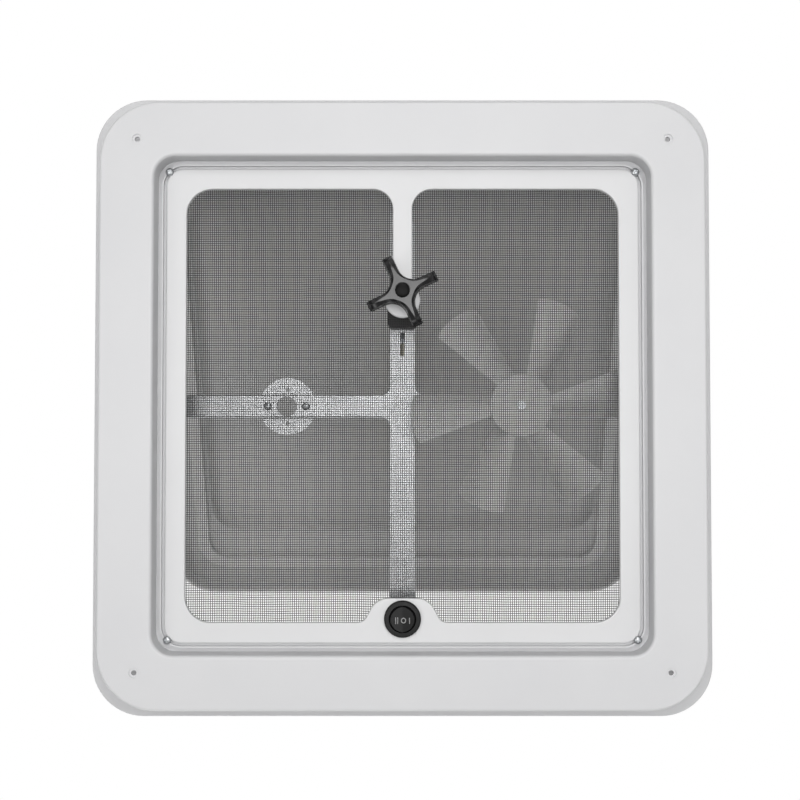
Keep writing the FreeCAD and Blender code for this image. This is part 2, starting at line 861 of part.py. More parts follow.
def make_support_bracket():
    body = new_body("support_bracket")
    half_post = S.post_width / 2
    half_arm = S.arm_width / 2
    sheet_end = bracket_end - S.bracket_sheet
    sketch = new_sketch(body, "XY_Plane", S.bracket_level)
    draw_polygon(sketch, cross_points(half_post, half_arm, bracket_end))
    add_pad(body, sketch, S.bracket_height)
    for y in (half_arm, -half_arm):
        add_fillet(body, S.bracket_fillet, lambda edge, middle: stands_at(edge, middle, half_post, y))
    add_fillet(body, S.bracket_round, lambda edge, middle: lies_flat(edge, S.bracket_level))
    inside = new_sketch(body, "XY_Plane", bracket_top)
    draw_polygon(inside, cross_points(half_post - S.bracket_sheet, half_arm - S.bracket_sheet, sheet_end))
    add_pocket(body, inside, S.bracket_height - S.bracket_sheet)
    tab_top = bracket_top + S.tab_height
    for sign in (-1, 1):
        ends = sorted((sign * sheet_end, sign * bracket_end), key=lambda size: size.number)
        pad_box(body, ends[0], ends[1], -half_arm, half_arm, web_top, tab_top)
        pad_box(body, -half_post, half_post, ends[0], ends[1], web_top, tab_top)
    hole = S.screw_radius + S.press_gap
    side_row = new_sketch(body, "YZ_Plane", neck_outer)
    draw_circle(side_row, 0, tab_hole_level, hole)
    add_pocket(body, side_row, 2 * neck_outer)
    end_row = new_sketch(body, "XZ_Plane", neck_outer)
    draw_circle(end_row, 0, tab_hole_level, hole)
    add_pocket(body, end_row, 2 * neck_outer)
    rivet_hole = S.rivet_radius + S.press_gap
    holes = [(0, S.crank_offset, S.crank_radius + S.running_fit)]
    for x in (-S.fan_offset, S.fan_offset):
        holes.append((x, 0, S.seat_hole / 2))
        holes.append((x - S.seat_rivet_offset, 0, rivet_hole))
        holes.append((x + S.seat_rivet_offset, 0, rivet_hole))
    for x, y in house_screw_spots():
        holes.append((x, y, hole))
    holes.append((0, switch_y, S.lead_hole / 2))
    cut_holes(body, web_top, S.bracket_sheet, holes)
    half_slot = S.slot_width / 2
    cut_box(
        body, -half_slot, half_slot, S.slot_offset - S.slot_length / 2, S.slot_offset + S.slot_length / 2,
        S.bracket_level, web_top,
    )
    return keep(body)


def make_bracket_screws():
    length = S.bracket_sheet + S.wall_gap + S.neck_wall + S.screw_cap
    seed = turned("bracket_screw_seed", screw_points(length))
    inner_face = (bracket_end - S.bracket_sheet).number
    level = tab_hole_level.number
    places = []
    for angle in (0, 90, 180, 270):
        outwards = Rotation(Vector(0, 0, 1), angle).multiply(Rotation(Vector(0, 1, 0), 90))
        spot = Rotation(Vector(0, 0, 1), angle).multVec(Vector(inner_face, 0, level))
        places.append(Placement(spot, outwards))
    return keep(group_of("bracket_screws", seed, places))


def make_motor_seats():
    body = new_body("motor_seats")
    sketch = new_sketch(body, "XY_Plane", bracket_top)
    for x in (-S.fan_offset, S.fan_offset):
        draw_circle(sketch, x, 0, S.seat_radius)
        draw_circle(sketch, x, 0, S.seat_hole / 2)
        for sign in (-1, 1):
            draw_circle(sketch, x + sign * S.seat_rivet_offset, 0, S.rivet_radius + S.press_gap)
            draw_circle(sketch, x, sign * S.motor_screw_offset, S.screw_radius + S.press_gap)
    add_pad(body, sketch, S.seat_thick)
    return keep(body)


def make_seat_rivets():
    seed = turned("seat_rivet_seed", rivet_points(S.bracket_height + S.seat_thick))
    places = []
    for x in (-S.fan_offset, S.fan_offset):
        for sign in (-1, 1):
            places.append(at(x + sign * S.seat_rivet_offset, 0, S.bracket_level))
    return keep(group_of("seat_rivets", seed, places))


def make_motor():
    inner = S.motor_radius - S.motor_wall
    floor_top = seat_top + S.motor_wall
    boss_low = seat_top - S.motor_boss_drop
    bush_hole = bush_radius + S.press_gap
    screw_hole = S.screw_radius + S.press_gap
    can = turned("motor_can", [
        (bush_hole, boss_low), (S.motor_boss / 2, boss_low), (S.motor_boss / 2, seat_top),
        (S.motor_radius, seat_top), (S.motor_radius, can_top), (inner, can_top),
        (inner, floor_top), (bush_hole, floor_top),
    ])
    holes = [(0, sign * S.motor_screw_offset, screw_hole) for sign in (-1, 1)]
    holes += [(sign * S.seat_rivet_offset, 0, S.rivet_head + S.press_gap) for sign in (-1, 1)]
    cut_holes(can, floor_top, S.motor_wall, holes)
    can.Placement = motor_place
    keep(can)
    spigot = inner - S.press_gap
    spigot_low = can_top - S.motor_wall
    keep(turned("motor_end_cap", [
        (bush_hole, spigot_low), (spigot, spigot_low), (spigot, can_top), (S.motor_radius, can_top),
        (S.motor_radius - 1, cap_top), (bush_hole, cap_top),
    ], motor_place))
    bore = S.shaft_radius + S.running_fit
    doc.recompute()
    bushes = []
    for label, low, high in (("low_bush_seed", boss_low, floor_top), ("high_bush_seed", spigot_low, cap_top)):
        bushes.append(turned(label, [(bore, low), (bush_radius, low), (bush_radius, high), (bore, high)]))
    doc.recompute()
    keep(feature_of("motor_bushes", Part.makeCompound([bush.Shape for bush in bushes]), motor_place))
    seed = turned("motor_screw_seed", screw_points(S.seat_thick + S.motor_wall))
    spots = [at(0, sign * S.motor_screw_offset, bracket_top) for sign in (-1, 1)]
    keep(group_of("motor_screws", seed, spots, motor_place))
    make_motor_inside(inner, floor_top, spigot_low)


def ring_sector(outer, inner, low, high, start, sweep):
    """A piece of a tube wall between two levels, cut to an angle in degrees."""
    base = Vector(0, 0, low)
    axis = Vector(0, 0, 1)
    whole = Part.makeCylinder(outer, high - low, base, axis, sweep)
    hole = Part.makeCylinder(inner, high - low, base, axis)
    sector = whole.cut(hole)
    sector.rotate(Vector(0, 0, 0), axis, start)
    return sector


def make_motor_inside(inner, floor_top, spigot_low):
    """Magnets, armature, commutator, brushes and the tabs that feed them."""
    margin = S.air_gap.number
    magnet_outer = inner.number - S.press_gap.number
    magnet_inner = magnet_outer - S.magnet_thick.number
    armature_radius = magnet_inner - margin
    commutator_high = spigot_low.number - margin
    commutator_low = commutator_high - 3 * S.rivet_radius.number
    armature_low = floor_top.number + S.rivet_cap.number + 2 * margin
    armature_high = commutator_low - margin
    sweep = S.magnet_angle.number
    rest = (180 - sweep) / 2
    magnets = [
        ring_sector(magnet_outer, magnet_inner, armature_low, armature_high, start, sweep)
        for start in (rest, 180 + rest)
    ]
    keep(feature_of("motor_magnets", Part.makeCompound(magnets), motor_place))
    bore = S.shaft_radius.number + S.press_gap.number
    core = ring_sector(armature_radius, bore, armature_low, armature_high, 0, 360)
    slot_count = 5
    slot_width = armature_radius / 4
    for step in range(slot_count):
        slot = Part.makeBox(
            armature_radius / 2, slot_width, armature_high - armature_low,
            Vector(armature_radius * 0.6, -slot_width / 2, armature_low),
        )
        slot.rotate(Vector(0, 0, 0), Vector(0, 0, 1), step * 360 / slot_count)
        core = core.cut(slot)
    keep(feature_of("motor_armature", core, motor_place))
    commutator_radius = armature_radius / 3
    commutator = ring_sector(commutator_radius, bore, commutator_low, commutator_high, 0, 360)
    keep(feature_of("motor_commutator", commutator, motor_place))
    brush_near = commutator_radius + margin / 3
    brush_far = magnet_inner * 0.8
    brush_half = S.rivet_radius.number
    brushes = []
    for angle in (0, 180):
        brush = Part.makeBox(
            brush_far - brush_near, 2 * brush_half, spigot_low.number - commutator_low,
            Vector(brush_near, -brush_half, commutator_low),
        )
        brush.rotate(Vector(0, 0, 0), Vector(0, 0, 1), angle)
        brushes.append(brush)
    keep(feature_of("motor_brushes", Part.makeCompound(brushes), motor_place))
    tabs = []
    for spot in motor_tab_spots():
        tabs.append(Part.makeBox(
            S.terminal_width.number, S.terminal_thick.number, S.terminal_length.number,
            spot - Vector(S.terminal_width.number / 2, S.terminal_thick.number / 2, 0),
        ))
    keep(feature_of("motor_terminals", Part.makeCompound(tabs)))


def motor_tab_spots():
    """Foot of each of the motor's two terminal tabs."""
    offset = S.motor_radius.number / 2
    return [Vector(-S.fan_offset.number, y, cap_top.number) for y in (-offset, offset)]


def make_fan():
    tip = hub_front - 2.5 * S.shaft_radius
    shaft_top = cap_top - S.motor_wall
    keep(turned("motor_shaft", [
        (0, tip), (S.shaft_radius, tip), (S.shaft_radius, shaft_top), (0, shaft_top),
    ], motor_place))
    bore = S.shaft_radius + S.press_gap
    clip_low = hub_front - S.shaft_radius
    keep(turned("hub_clip", [
        (bore, clip_low), (2 * S.shaft_radius, clip_low), (2 * S.shaft_radius, hub_front), (bore, hub_front),
    ], motor_place))
    body = new_body("fan_wheel")
    sketch = new_sketch(body, "XZ_Plane", 0)
    hub_top = hub_front + S.hub_height
    boss = S.shaft_radius + 2 * S.hub_wall
    draw_polygon(sketch, [
        (bore, hub_front), (S.hub_radius, hub_front), (S.hub_radius, hub_top),
        (S.hub_radius - S.hub_wall, hub_top), (S.hub_radius - S.hub_wall, hub_front + S.hub_wall),
        (boss, hub_front + S.hub_wall), (boss, hub_top), (bore, hub_top),
    ])
    turn = body.newObject("PartDesign::Revolution", "fan_hub_turn")
    turn.Profile = sketch
    turn.ReferenceAxis = (sketch, ["V_Axis"])
    turn.Angle = 360
    add_fillet(
        body, S.hub_round,
        lambda edge, middle: lies_flat(edge, hub_front) and is_outer(edge, S.hub_radius),
    )
    middle_level = hub_front + S.hub_height / 2
    tip_offset = math.sqrt(S.fan_radius.number ** 2 - (S.blade_tip.number / 2) ** 2)
    root_radius = S.hub_radius - 0.8 * S.hub_wall
    root = new_blade_section(body, root_radius, S.blade_root, S.blade_pitch_root, middle_level)
    end = new_blade_section(body, tip_offset, S.blade_tip, S.blade_pitch_tip, middle_level)
    blade = body.newObject("PartDesign::AdditiveLoft", "fan_blade")
    blade.Profile = root
    blade.Sections = [end]
    blade.Ruled = True
    doc.recompute()
    ring = body.newObject("PartDesign::PolarPattern", "fan_blades")
    ring.Originals = [blade]
    ring.Axis = (sketch, ["V_Axis"])
    ring.Angle = 360
    ring.Occurrences = 6
    body.Tip = ring
    add_fillet(body, S.blade_round, lambda edge, middle: is_blade_corner(edge, middle))
    body.Placement = fan_place
    return keep(body)


def new_blade_section(body, radius, width, pitch, level):
    """One cross-section of a blade: a thin slanted bar, square to the blade's length."""
    sketch = new_sketch(body, "YZ_Plane", radius)
    half = S.blade_thick / 2
    draw_polygon(sketch, [
        (-width / 2, level - pitch / 2 - half),
        (width / 2, level + pitch / 2 - half),
        (width / 2, level + pitch / 2 + half),
        (-width / 2, level - pitch / 2 + half),
    ])
    return sketch


def is_blade_corner(edge, middle):
    """True for the short upright edges at the two corners of each blade's tip."""
    upright = near(edge.BoundBox.ZLength, S.blade_thick) and near(edge.Length, S.blade_thick)
    return upright and math.hypot(middle.x, middle.y) > S.fan_radius.number - 1


def make_crank():
    shaft_low = knob_front + S.knob_thick / 2
    keep(turned("crank_shaft", [
        (0, shaft_low), (S.crank_radius, shaft_low), (S.crank_radius, worm_low), (0, worm_low),
    ], crank_place))
    make_worm()
    make_knob(shaft_low)


def make_worm():
    """A single-start right-hand worm whose thread crest faces the gear at the gear's level."""
    pitch = worm_pitch.number
    low = worm_low.number
    high = worm_high.number
    core = Part.makeCylinder(worm_root.number, high - low, Vector(0, 0, low))
    journal_radius = worm_root.number - S.press_gap.number * 40
    journal = Part.makeCylinder(journal_radius, S.house_roof.number, Vector(0, 0, high))
    helix = Part.makeHelix(pitch, pitch * S.worm_turns.number, S.worm_radius.number)
    middle_half = pitch * S.tooth_share.number / 2
    slope = math.tan(math.radians(20))
    tip_half = middle_half - slope * (worm_tip.number - S.worm_radius.number)
    inner = worm_root.number - 0.3
    root_half = middle_half + slope * (S.worm_radius.number - inner)
    outline = [
        (inner, -root_half), (worm_tip.number, -tip_half), (worm_tip.number, tip_half), (inner, root_half),
        (inner, -root_half),
    ]
    section = Part.makePolygon([Vector(x, 0, z) for x, z in outline])
    thread = Part.Wire(helix).makePipeShell([section], True, True)
    thread.translate(Vector(0, 0, thread_low.number))
    worm = core.fuse(journal).fuse(thread).removeSplitter()
    return keep(feature_of("worm", worm, crank_place))


def make_knob(shaft_low):
    """A four-armed knob: straight arms with square ends, hollow flanks and a bevelled front."""
    front = knob_front.number
    thick = S.knob_thick.number
    bevel = S.knob_bevel.number
    rim = knob_outline(0, front + bevel)
    star = Part.Face(rim).extrude(Vector(0, 0, thick - bevel))
    back_edges = [edge for edge in star.Edges if lies_flat(edge, front + thick)]
    star = star.makeFillet(S.knob_round.number, back_edges)
    star = star.fuse(Part.makeLoft([knob_outline(bevel, front), rim], True, True))
    stem_top = frame_front.number - S.stem_gap.number
    stem = Part.makeCylinder(S.knob_stem.number, stem_top - front - thick / 2, Vector(0, 0, front + thick / 2))
    bore = Part.makeCylinder(
        S.crank_radius.number + S.press_gap.number,
        stem_top - shaft_low.number + 1,
        Vector(0, 0, shaft_low.number),
    )
    screw_radius = S.knob_screw.number + S.press_gap.number
    recess_depth = S.screw_cap.number
    recess = Part.makeCylinder(screw_radius, recess_depth + 1, Vector(0, 0, front - 1))
    shank_hole = Part.makeCylinder(S.screw_radius.number + S.press_gap.number, thick, Vector(0, 0, front))
    knob = star.fuse(stem).cut(bore).cut(recess).cut(shank_hole).removeSplitter()
    keep(feature_of("crank_knob", knob, knob_place))
    cap_low = knob_front - S.screw_cap / 3
    cap_high = knob_front + S.screw_cap
    keep(turned("knob_screw", [
        (0, cap_low), (0.7 * S.knob_screw, cap_low), (S.knob_screw, knob_front), (S.knob_screw, cap_high),
        (S.screw_radius, cap_high), (S.screw_radius, shaft_low), (0, shaft_low),
    ], crank_place))


def knob_outline(inset, level):
    """Outline of the knob's star, drawn in from its rim by the inset."""
    half = S.knob_arm.number / 2
    hollow = (S.knob_waist.number - half * math.sqrt(2)) / (math.sqrt(2) - 1)
    start = half + hollow
    side = half - inset
    reach = S.knob_radius.number - inset
    corner = S.knob_corner.number * side / half
    slant = corner * (1 - math.sqrt(0.5))
    waist = (S.knob_waist.number - inset) * math.sqrt(0.5)
    edges = []
    for arm in range(4):
        turn = Rotation(Vector(0, 0, 1), 90 * arm)

        def spot(along, across):
            return turn.multVec(Vector(along, across, 0)) + Vector(0, 0, level)

        corners = [
            Part.Arc(spot(reach - corner, -side), spot(reach - slant, slant - side), spot(reach, corner - side)),
            Part.Arc(spot(reach, side - corner), spot(reach - slant, side - slant), spot(reach - corner, side)),
        ]
        edges += [
            Part.LineSegment(spot(start, -side), spot(reach - corner, -side)).toShape(),
            corners[0].toShape(),
            Part.LineSegment(spot(reach, corner - side), spot(reach, side - corner)).toShape(),
            corners[1].toShape(),
            Part.LineSegment(spot(reach - corner, side), spot(start, side)).toShape(),
            Part.Arc(spot(start, side), spot(waist, waist), spot(side, start)).toShape(),
        ]
    return Part.Wire(edges)


def make_lift_gear():
    """A spur gear on the X axis with a tooth gap facing the worm at rest."""
    teeth = round(S.gear_teeth.number)
    radius = gear_radius.number
    half = math.pi * S.gear_module.number * S.tooth_share.number / 2 / radius
    slope = math.tan(math.radians(20))
    tip_half = half - slope * (gear_tip.number - radius) / radius
    root_half = half + slope * (radius - gear_root.number) / radius
    points = []
    for tooth in range(teeth):
        middle = (tooth + 0.5) * 2 * math.pi / teeth
        for turn, reach in (
            (middle - root_half, gear_root.number), (middle - tip_half, gear_tip.number),
            (middle + tip_half, gear_tip.number), (middle + root_half, gear_root.number),
        ):
            points.append(Vector(-S.gear_thick.number / 2, reach * math.cos(turn), reach * math.sin(turn)))
    outline = Part.makePolygon(points + points[:1])
    gear = Part.Face(outline).extrude(Vector(S.gear_thick.number, 0, 0))
    along_x = Vector(1, 0, 0)
    low = Vector(-S.gear_thick.number, 0, 0)
    bore_radius = S.pivot_radius.number + S.running_fit.number
    gear = gear.cut(Part.makeCylinder(bore_radius, 2 * S.gear_thick.number, low, along_x))
    turned_back = arm_place.Rotation.inverted()
    for spot in arm_rivet_spots():
        world = arm_place.Rotation.multVec(spot)
        hole = Part.makeCylinder(
            S.glide_axle.number / 2 + S.press_gap.number, 2 * S.gear_thick.number, low + world, along_x,
        )
        gear = gear.cut(hole)
    gear.rotate(Vector(0, 0, 0), turned_back.Axis, math.degrees(turned_back.Angle))
    return keep(feature_of("lift_gear", gear, arm_place))


def arm_rivet_spots():
    """Centres of the two rivets that hold the arm to the gear, in the arm's own frame."""
    reach = (S.arm_hub.number + S.pivot_radius.number) / 2
    return [Vector(0, 0, reach), Vector(0, 0, -reach)]


def make_lift_arm():
    """A tapered flat bar along -Y from its hub to the glide axle."""
    hub = S.arm_hub.number
    end = S.arm_end.number
    low = Vector(S.gear_thick.number / 2, 0, 0)
    tilt = math.asin((hub - end) / arm_length)

    def rim(center_y, radius, turn):
        return low + Vector(0, center_y + radius * math.cos(turn), radius * math.sin(turn))

    upper = math.pi / 2 + tilt
    hub_up = rim(0, hub, upper)
    hub_down = rim(0, hub, -upper)
    end_up = rim(-arm_length, end, upper)
    end_down = rim(-arm_length, end, -upper)
    edges = [
        Part.Arc(hub_down, rim(0, hub, 0), hub_up).toShape(),
        Part.LineSegment(hub_up, end_up).toShape(),
        Part.Arc(end_up, rim(-arm_length, end, math.pi), end_down).toShape(),
        Part.LineSegment(end_down, hub_down).toShape(),
    ]
    thick = S.arm_thick.number
    arm = Part.Face(Part.Wire(edges)).extrude(Vector(thick, 0, 0))
    along_x = Vector(1, 0, 0)
    cuts = [(Vector(0, 0, 0), S.pivot_radius.number + S.running_fit.number)]
    cuts.append((Vector(0, -arm_length, 0), S.glide_axle.number + S.press_gap.number))
    for spot in arm_rivet_spots():
        cuts.append((spot, S.glide_axle.number / 2 + S.press_gap.number))
    for spot, radius in cuts:
        arm = arm.cut(Part.makeCylinder(radius, 4 * thick, spot - Vector(thick, 0, 0), along_x))
    keep(feature_of("lift_arm", arm, arm_place))
    along = Rotation(Vector(0, 1, 0), 90)
    axle_length = S.track_room.number - 2 * S.glide_gap.number
    axle = Part.makeCylinder(
        S.glide_axle.number, axle_length,
        Vector(arm_center.number - axle_length / 2, -arm_length, 0), along_x,
    )
    keep(feature_of("glide_axle", axle, arm_place))
    make_glides()
    radius = S.glide_axle / 2
    grip = S.gear_thick + S.arm_thick
    cap = 0.6 * S.glide_axle / 1.6
    seed = turned("arm_rivet_seed", [
        (0, -cap), (1.6 * radius, -cap), (1.8 * radius, 0), (radius, 0), (radius, grip),
        (1.8 * radius, grip), (1.6 * radius, grip + cap), (0, grip + cap),
    ])
    places = [
        Placement(spot - Vector(S.gear_thick.number / 2, 0, 0), along) for spot in arm_rivet_spots()
    ]
    keep(group_of("arm_rivets", seed, places, arm_place))


def make_glides():
    """Two round nylon glides on the axle, one each side of the arm."""
    seed = turned("glide_seed", [
        (S.glide_axle + S.press_gap, 0), (S.glide_radius, 0), (S.glide_radius, S.glide_width),
        (S.glide_axle + S.press_gap, S.glide_width),
    ])
    along = Rotation(Vector(0, 1, 0), 90)
    inner = S.arm_thick.number / 2 + S.glide_gap.number
    starts = (arm_center.number + inner, arm_center.number - inner - S.glide_width.number)
    places = [Placement(Vector(x, -arm_length, 0), along) for x in starts]
    keep(group_of("track_glides", seed, places, arm_place))


def house_screw_spots():
    """The two long screws that clamp block and housing to the post."""
    far = S.crank_offset + S.ear_reach - 1.4 * S.screw_head
    return [(0, far), (0, far - 2.15 * S.screw_head)]


def make_operator():
    half_width = S.block_width / 2
    low_y = S.crank_offset - S.block_drop
    high_y = S.crank_offset + S.ear_reach
    shaft_hole = S.crank_radius + S.running_fit
    screw_hole = S.screw_radius + S.press_gap
    block = new_body("operator_block")
    sketch = new_sketch(block, "XY_Plane", block_low)
    draw_rounded(sketch, -half_width, half_width, low_y, S.crank_offset + S.block_rise, S.block_round)
    add_pad(block, sketch, S.block_height)
    pad_box(block, -S.ear_width / 2, S.ear_width / 2, S.crank_offset, high_y, block_low, S.bracket_level)
    holes = [(0, S.crank_offset, shaft_hole)]
    holes += [(x, y, screw_hole) for x, y in house_screw_spots()]
    cut_holes(block, S.bracket_level, S.block_height, holes)
    keep(block)
    make_operator_housing(high_y, screw_hole)
    length = S.block_height + S.bracket_height + S.house_plate + 3 * S.screw_radius
    seed = turned("house_screw_seed", screw_points(length))
    places = [at(x, y, block_low) for x, y in house_screw_spots()]
    keep(group_of("operator_screws", seed, places))
    pin_half = S.post_width / 2 - 0.5
    pin = turned("pivot_pin_seed", [
        (0, -pin_half), (S.pivot_radius, -pin_half), (S.pivot_radius, pin_half), (0, pin_half),
    ])
    along = Placement(Vector(0, pivot_y.number, S.gear_level.number), Rotation(Vector(0, 1, 0), 90))
    keep(group_of("arm_pivot_pin", pin, [along]))


def make_operator_housing(high_y, screw_hole):
    """Two cheeks that carry the lift arm and a tower that carries the worm, in one moulding."""
    body = new_body("operator_housing")
    half = S.post_width / 2 - 0.5
    plate_low = pivot_y - gear_tip - 1
    plate_top = bracket_top + S.house_plate
    tower_low = pivot_y + S.arm_hub + S.gear_room
    bore = worm_tip + S.worm_room
    tower_high = S.crank_offset + bore + S.house_wall
    cheek_in = half - S.house_wall
    pad_box(body, -half, half, plate_low, high_y, bracket_top, plate_top)
    pad_box(body, -half, half, tower_low, tower_high, plate_top, house_top)
    pad_box(body, -half, half, tower_high - 1, high_y, plate_top, plate_top + 4 * S.house_plate)
    for x_low, x_high in ((-half, -cheek_in), (cheek_in, half)):
        sketch = new_sketch(body, "YZ_Plane", x_low)
        draw_polygon(sketch, [
            (pivot_y - S.cheek_radius, plate_top - 1), (tower_low + 1, plate_top - 1),
            (tower_low + 1, S.gear_level), (pivot_y - S.cheek_radius, S.gear_level),
        ])
        add_pad(body, sketch, x_high - x_low)
        sketch = new_sketch(body, "YZ_Plane", x_low)
        draw_circle(sketch, pivot_y, S.gear_level, S.cheek_radius)
        add_pad(body, sketch, x_high - x_low)
    cut_holes(body, worm_high, worm_high - bracket_top, [(0, S.crank_offset, bore)])
    cut_holes(body, house_top, S.house_roof, [(0, S.crank_offset, worm_root - 40 * S.press_gap + S.running_fit)])
    half_gear = S.gear_thick / 2 + S.gear_room
    arm_side = arm_center + S.arm_thick / 2 + S.gear_room
    mouth = S.crank_offset - worm_root
    cut_box(body, -half_gear, arm_side, tower_low - 1, mouth, bracket_top, house_top)
    cut_box(body, -half_gear, arm_side, plate_low - 1, mouth, bracket_top, plate_top)
    screw_depth = 3 * S.screw_radius + S.house_plate
    cut_holes(
        body, bracket_top + screw_depth, screw_depth,
        [(x, y, screw_hole) for x, y in house_screw_spots()],
    )
    pin_row = new_sketch(body, "YZ_Plane", half)
    draw_circle(pin_row, pivot_y, S.gear_level, S.pivot_radius + S.press_gap)
    add_pocket(body, pin_row, 2 * half)
    return keep(body)


def make_lid_panel():
    """The lid in its closed attitude, with the hinge axis through its own origin."""
    body = new_body("lid_panel")
    center = -hinge_offset
    rim_top = S.lid_clear + S.lid_wall
    skirt_low = -S.lid_skirt
    inner_corner = S.lid_corner - S.lid_wall
    pad_ring(
        body, skirt_low, rim_top - skirt_low, (lid_half, S.lid_corner),
        (lid_half - S.lid_wall, inner_corner), center,
    )
    plateau = plateau_limits(0)
    inside = plateau_limits(S.lid_wall)
    sketch = new_sketch(body, "XY_Plane", S.lid_clear)
    draw_square(sketch, lid_half, S.lid_corner, center)
    draw_rounded(sketch, *inside)
    add_pad(body, sketch, S.lid_wall)
    sketch = new_sketch(body, "XY_Plane", S.lid_clear)
    draw_rounded(sketch, *plateau)
    draw_rounded(sketch, *inside)
    add_pad(body, sketch, plateau_outer - S.lid_clear)
    sketch = new_sketch(body, "XY_Plane", plateau_inner)
    draw_rounded(sketch, *plateau)
    add_pad(body, sketch, S.lid_wall)
    add_fillet(body, S.plateau_round, lambda edge, middle: lies_flat(edge, plateau_outer))
    add_fillet(body, S.lid_round, lambda edge, middle: lies_flat(edge, rim_top) and is_lid_rim(edge))
    notch_half = S.knuckle_width / 2 + S.ear_gap + 2 * S.ear_thick
    notch_near = S.knuckle_radius + 0.2
    for x in (-S.hinge_spread, S.hinge_spread):
        cut_box(
            body, x - notch_half, x + notch_half, notch_near, lid_half - hinge_offset + 1,
            skirt_low, S.lid_clear,
        )
    rivet_hole = S.rivet_radius + S.press_gap
    holes = [(spot.x, spot.y, rivet_hole) for spot in knuckle_rivet_spots()]
    cut_holes(body, rim_top, S.lid_wall, holes)
    screw_hole = S.screw_radius + S.press_gap
    holes = [(spot.x, spot.y, screw_hole) for spot in track_screw_spots()]
    cut_holes(body, plateau_outer, S.lid_wall, holes)
    body.Placement = lid_place
    return keep(body)


def plateau_limits(inset):
    """Outline of the raised middle of the lid, moved inwards by an inset."""
    half = S.plateau_width / 2 - inset
    free_edge = -hinge_offset - lid_half + S.plateau_free + inset
    hinge_edge = -hinge_offset + lid_half - S.plateau_hinge - inset
    return (-half, half, free_edge, hinge_edge, S.plateau_corner - inset)


def is_lid_rim(edge):
    box = edge.BoundBox
    reach = max(abs(box.XMin), abs(box.XMax))
    ahead = lid_half.number - hinge_offset.number
    behind = -lid_half.number - hinge_offset.number
    return near(reach, lid_half) or near(box.YMax, ahead) or near(box.YMin, behind)


def knuckle_rivet_spots():
    along = S.knuckle_width.number / 4
    back = -(S.knuckle_radius.number + S.rivet_head.number)
    spread = S.hinge_spread.number
    return [Vector(x + step, back, 0) for x in (-spread, spread) for step in (-along, along)]


def track_screw_spots():
    """Where the screws through the lid hold the track, on the track's middle line."""
    margin = 3 * S.track_end.number
    stations = [track_near + margin, (track_near + track_far) / 2, track_far - margin]
    return [Vector(arm_center.number, -y, 0) for y in stations]


def make_lid_seal():
    body = new_body("lid_seal")
    center = -hinge_offset
    inner = neck_inner - S.neck_wall / 4
    low = S.curb_height + S.seal_gap - hinge_level
    pad_ring(
        body, low, S.lid_clear - low, (inner + S.seal_width, S.neck_corner + S.seal_width - S.neck_wall),
        (inner, neck_inner_corner), center,
    )
    body.Placement = lid_place
    return keep(body)


def make_lid_knuckles():
    """Two hinge blocks: an eye round the pin, a web and a leaf riveted under the lid's rim."""
    body = new_body("lid_knuckles")
    half = S.knuckle_width / 2
    leaf_low = S.lid_clear - S.lid_wall * 0.8
    leaf_back = -(S.knuckle_radius + 2 * S.rivet_head)
    for x in (-S.hinge_spread, S.hinge_spread):
        sketch = new_sketch(body, "YZ_Plane", x - half)
        draw_circle(sketch, 0, 0, S.knuckle_radius)
        add_pad(body, sketch, S.knuckle_width)
        pad_box(body, x - half, x + half, -S.knuckle_radius, S.knuckle_radius, 0, S.lid_clear)
        pad_box(body, x - half, x + half, leaf_back, 0, leaf_low, S.lid_clear)
    row = new_sketch(body, "YZ_Plane", lid_half)
    draw_circle(row, 0, 0, S.hinge_pin + S.running_fit)
    add_pocket(body, row, 2 * lid_half)
    rivet_hole = S.rivet_radius + S.press_gap
    cut_holes(
        body, S.lid_clear, S.lid_wall, [(spot.x, spot.y, rivet_hole) for spot in knuckle_rivet_spots()],
    )
    body.Placement = lid_place
    keep(body)
    seed = turned("knuckle_rivet_seed", rivet_points(S.lid_wall * 1.8))
    places = [at(spot.x, spot.y, leaf_low) for spot in knuckle_rivet_spots()]
    return keep(group_of("knuckle_rivets", seed, places, lid_place))


def make_lift_track():
    """A rail under the lid whose lips hold the glides of the lift arm."""
    body = new_body("lift_track")
    room = S.track_room / 2
    wall = room + S.track_wall
    lip = S.track_slot / 2
    inside = S.glide_radius + S.glide_gap
    outside = inside + S.track_wall
    right = [
        (wall, plateau_inner), (wall, -outside), (lip, -outside),
        (lip, -inside), (room, -inside), (room, inside),
    ]
    left = [(-x, z) for x, z in reversed(right)]
    sketch = new_sketch(body, "XZ_Plane", track_near)
    draw_polygon(sketch, [(arm_center + x, z) for x, z in right + left])
    add_pad(body, sketch, track_far - track_near)
    screw_hole = S.screw_radius + S.press_gap
    depth = S.track_screw_length - S.lid_wall
    holes = [(spot.x, spot.y, screw_hole) for spot in track_screw_spots()]
    cut_holes(body, plateau_inner, depth, holes)
    body.Placement = lid_place
    keep(body)
    seed = turned("track_screw_seed", screw_points(S.track_screw_length))
    over = Rotation(Vector(1, 0, 0), 180)
    places = [Placement(Vector(spot.x, spot.y, plateau_outer.number), over) for spot in track_screw_spots()]
    return keep(group_of("track_screws", seed, places, lid_place))


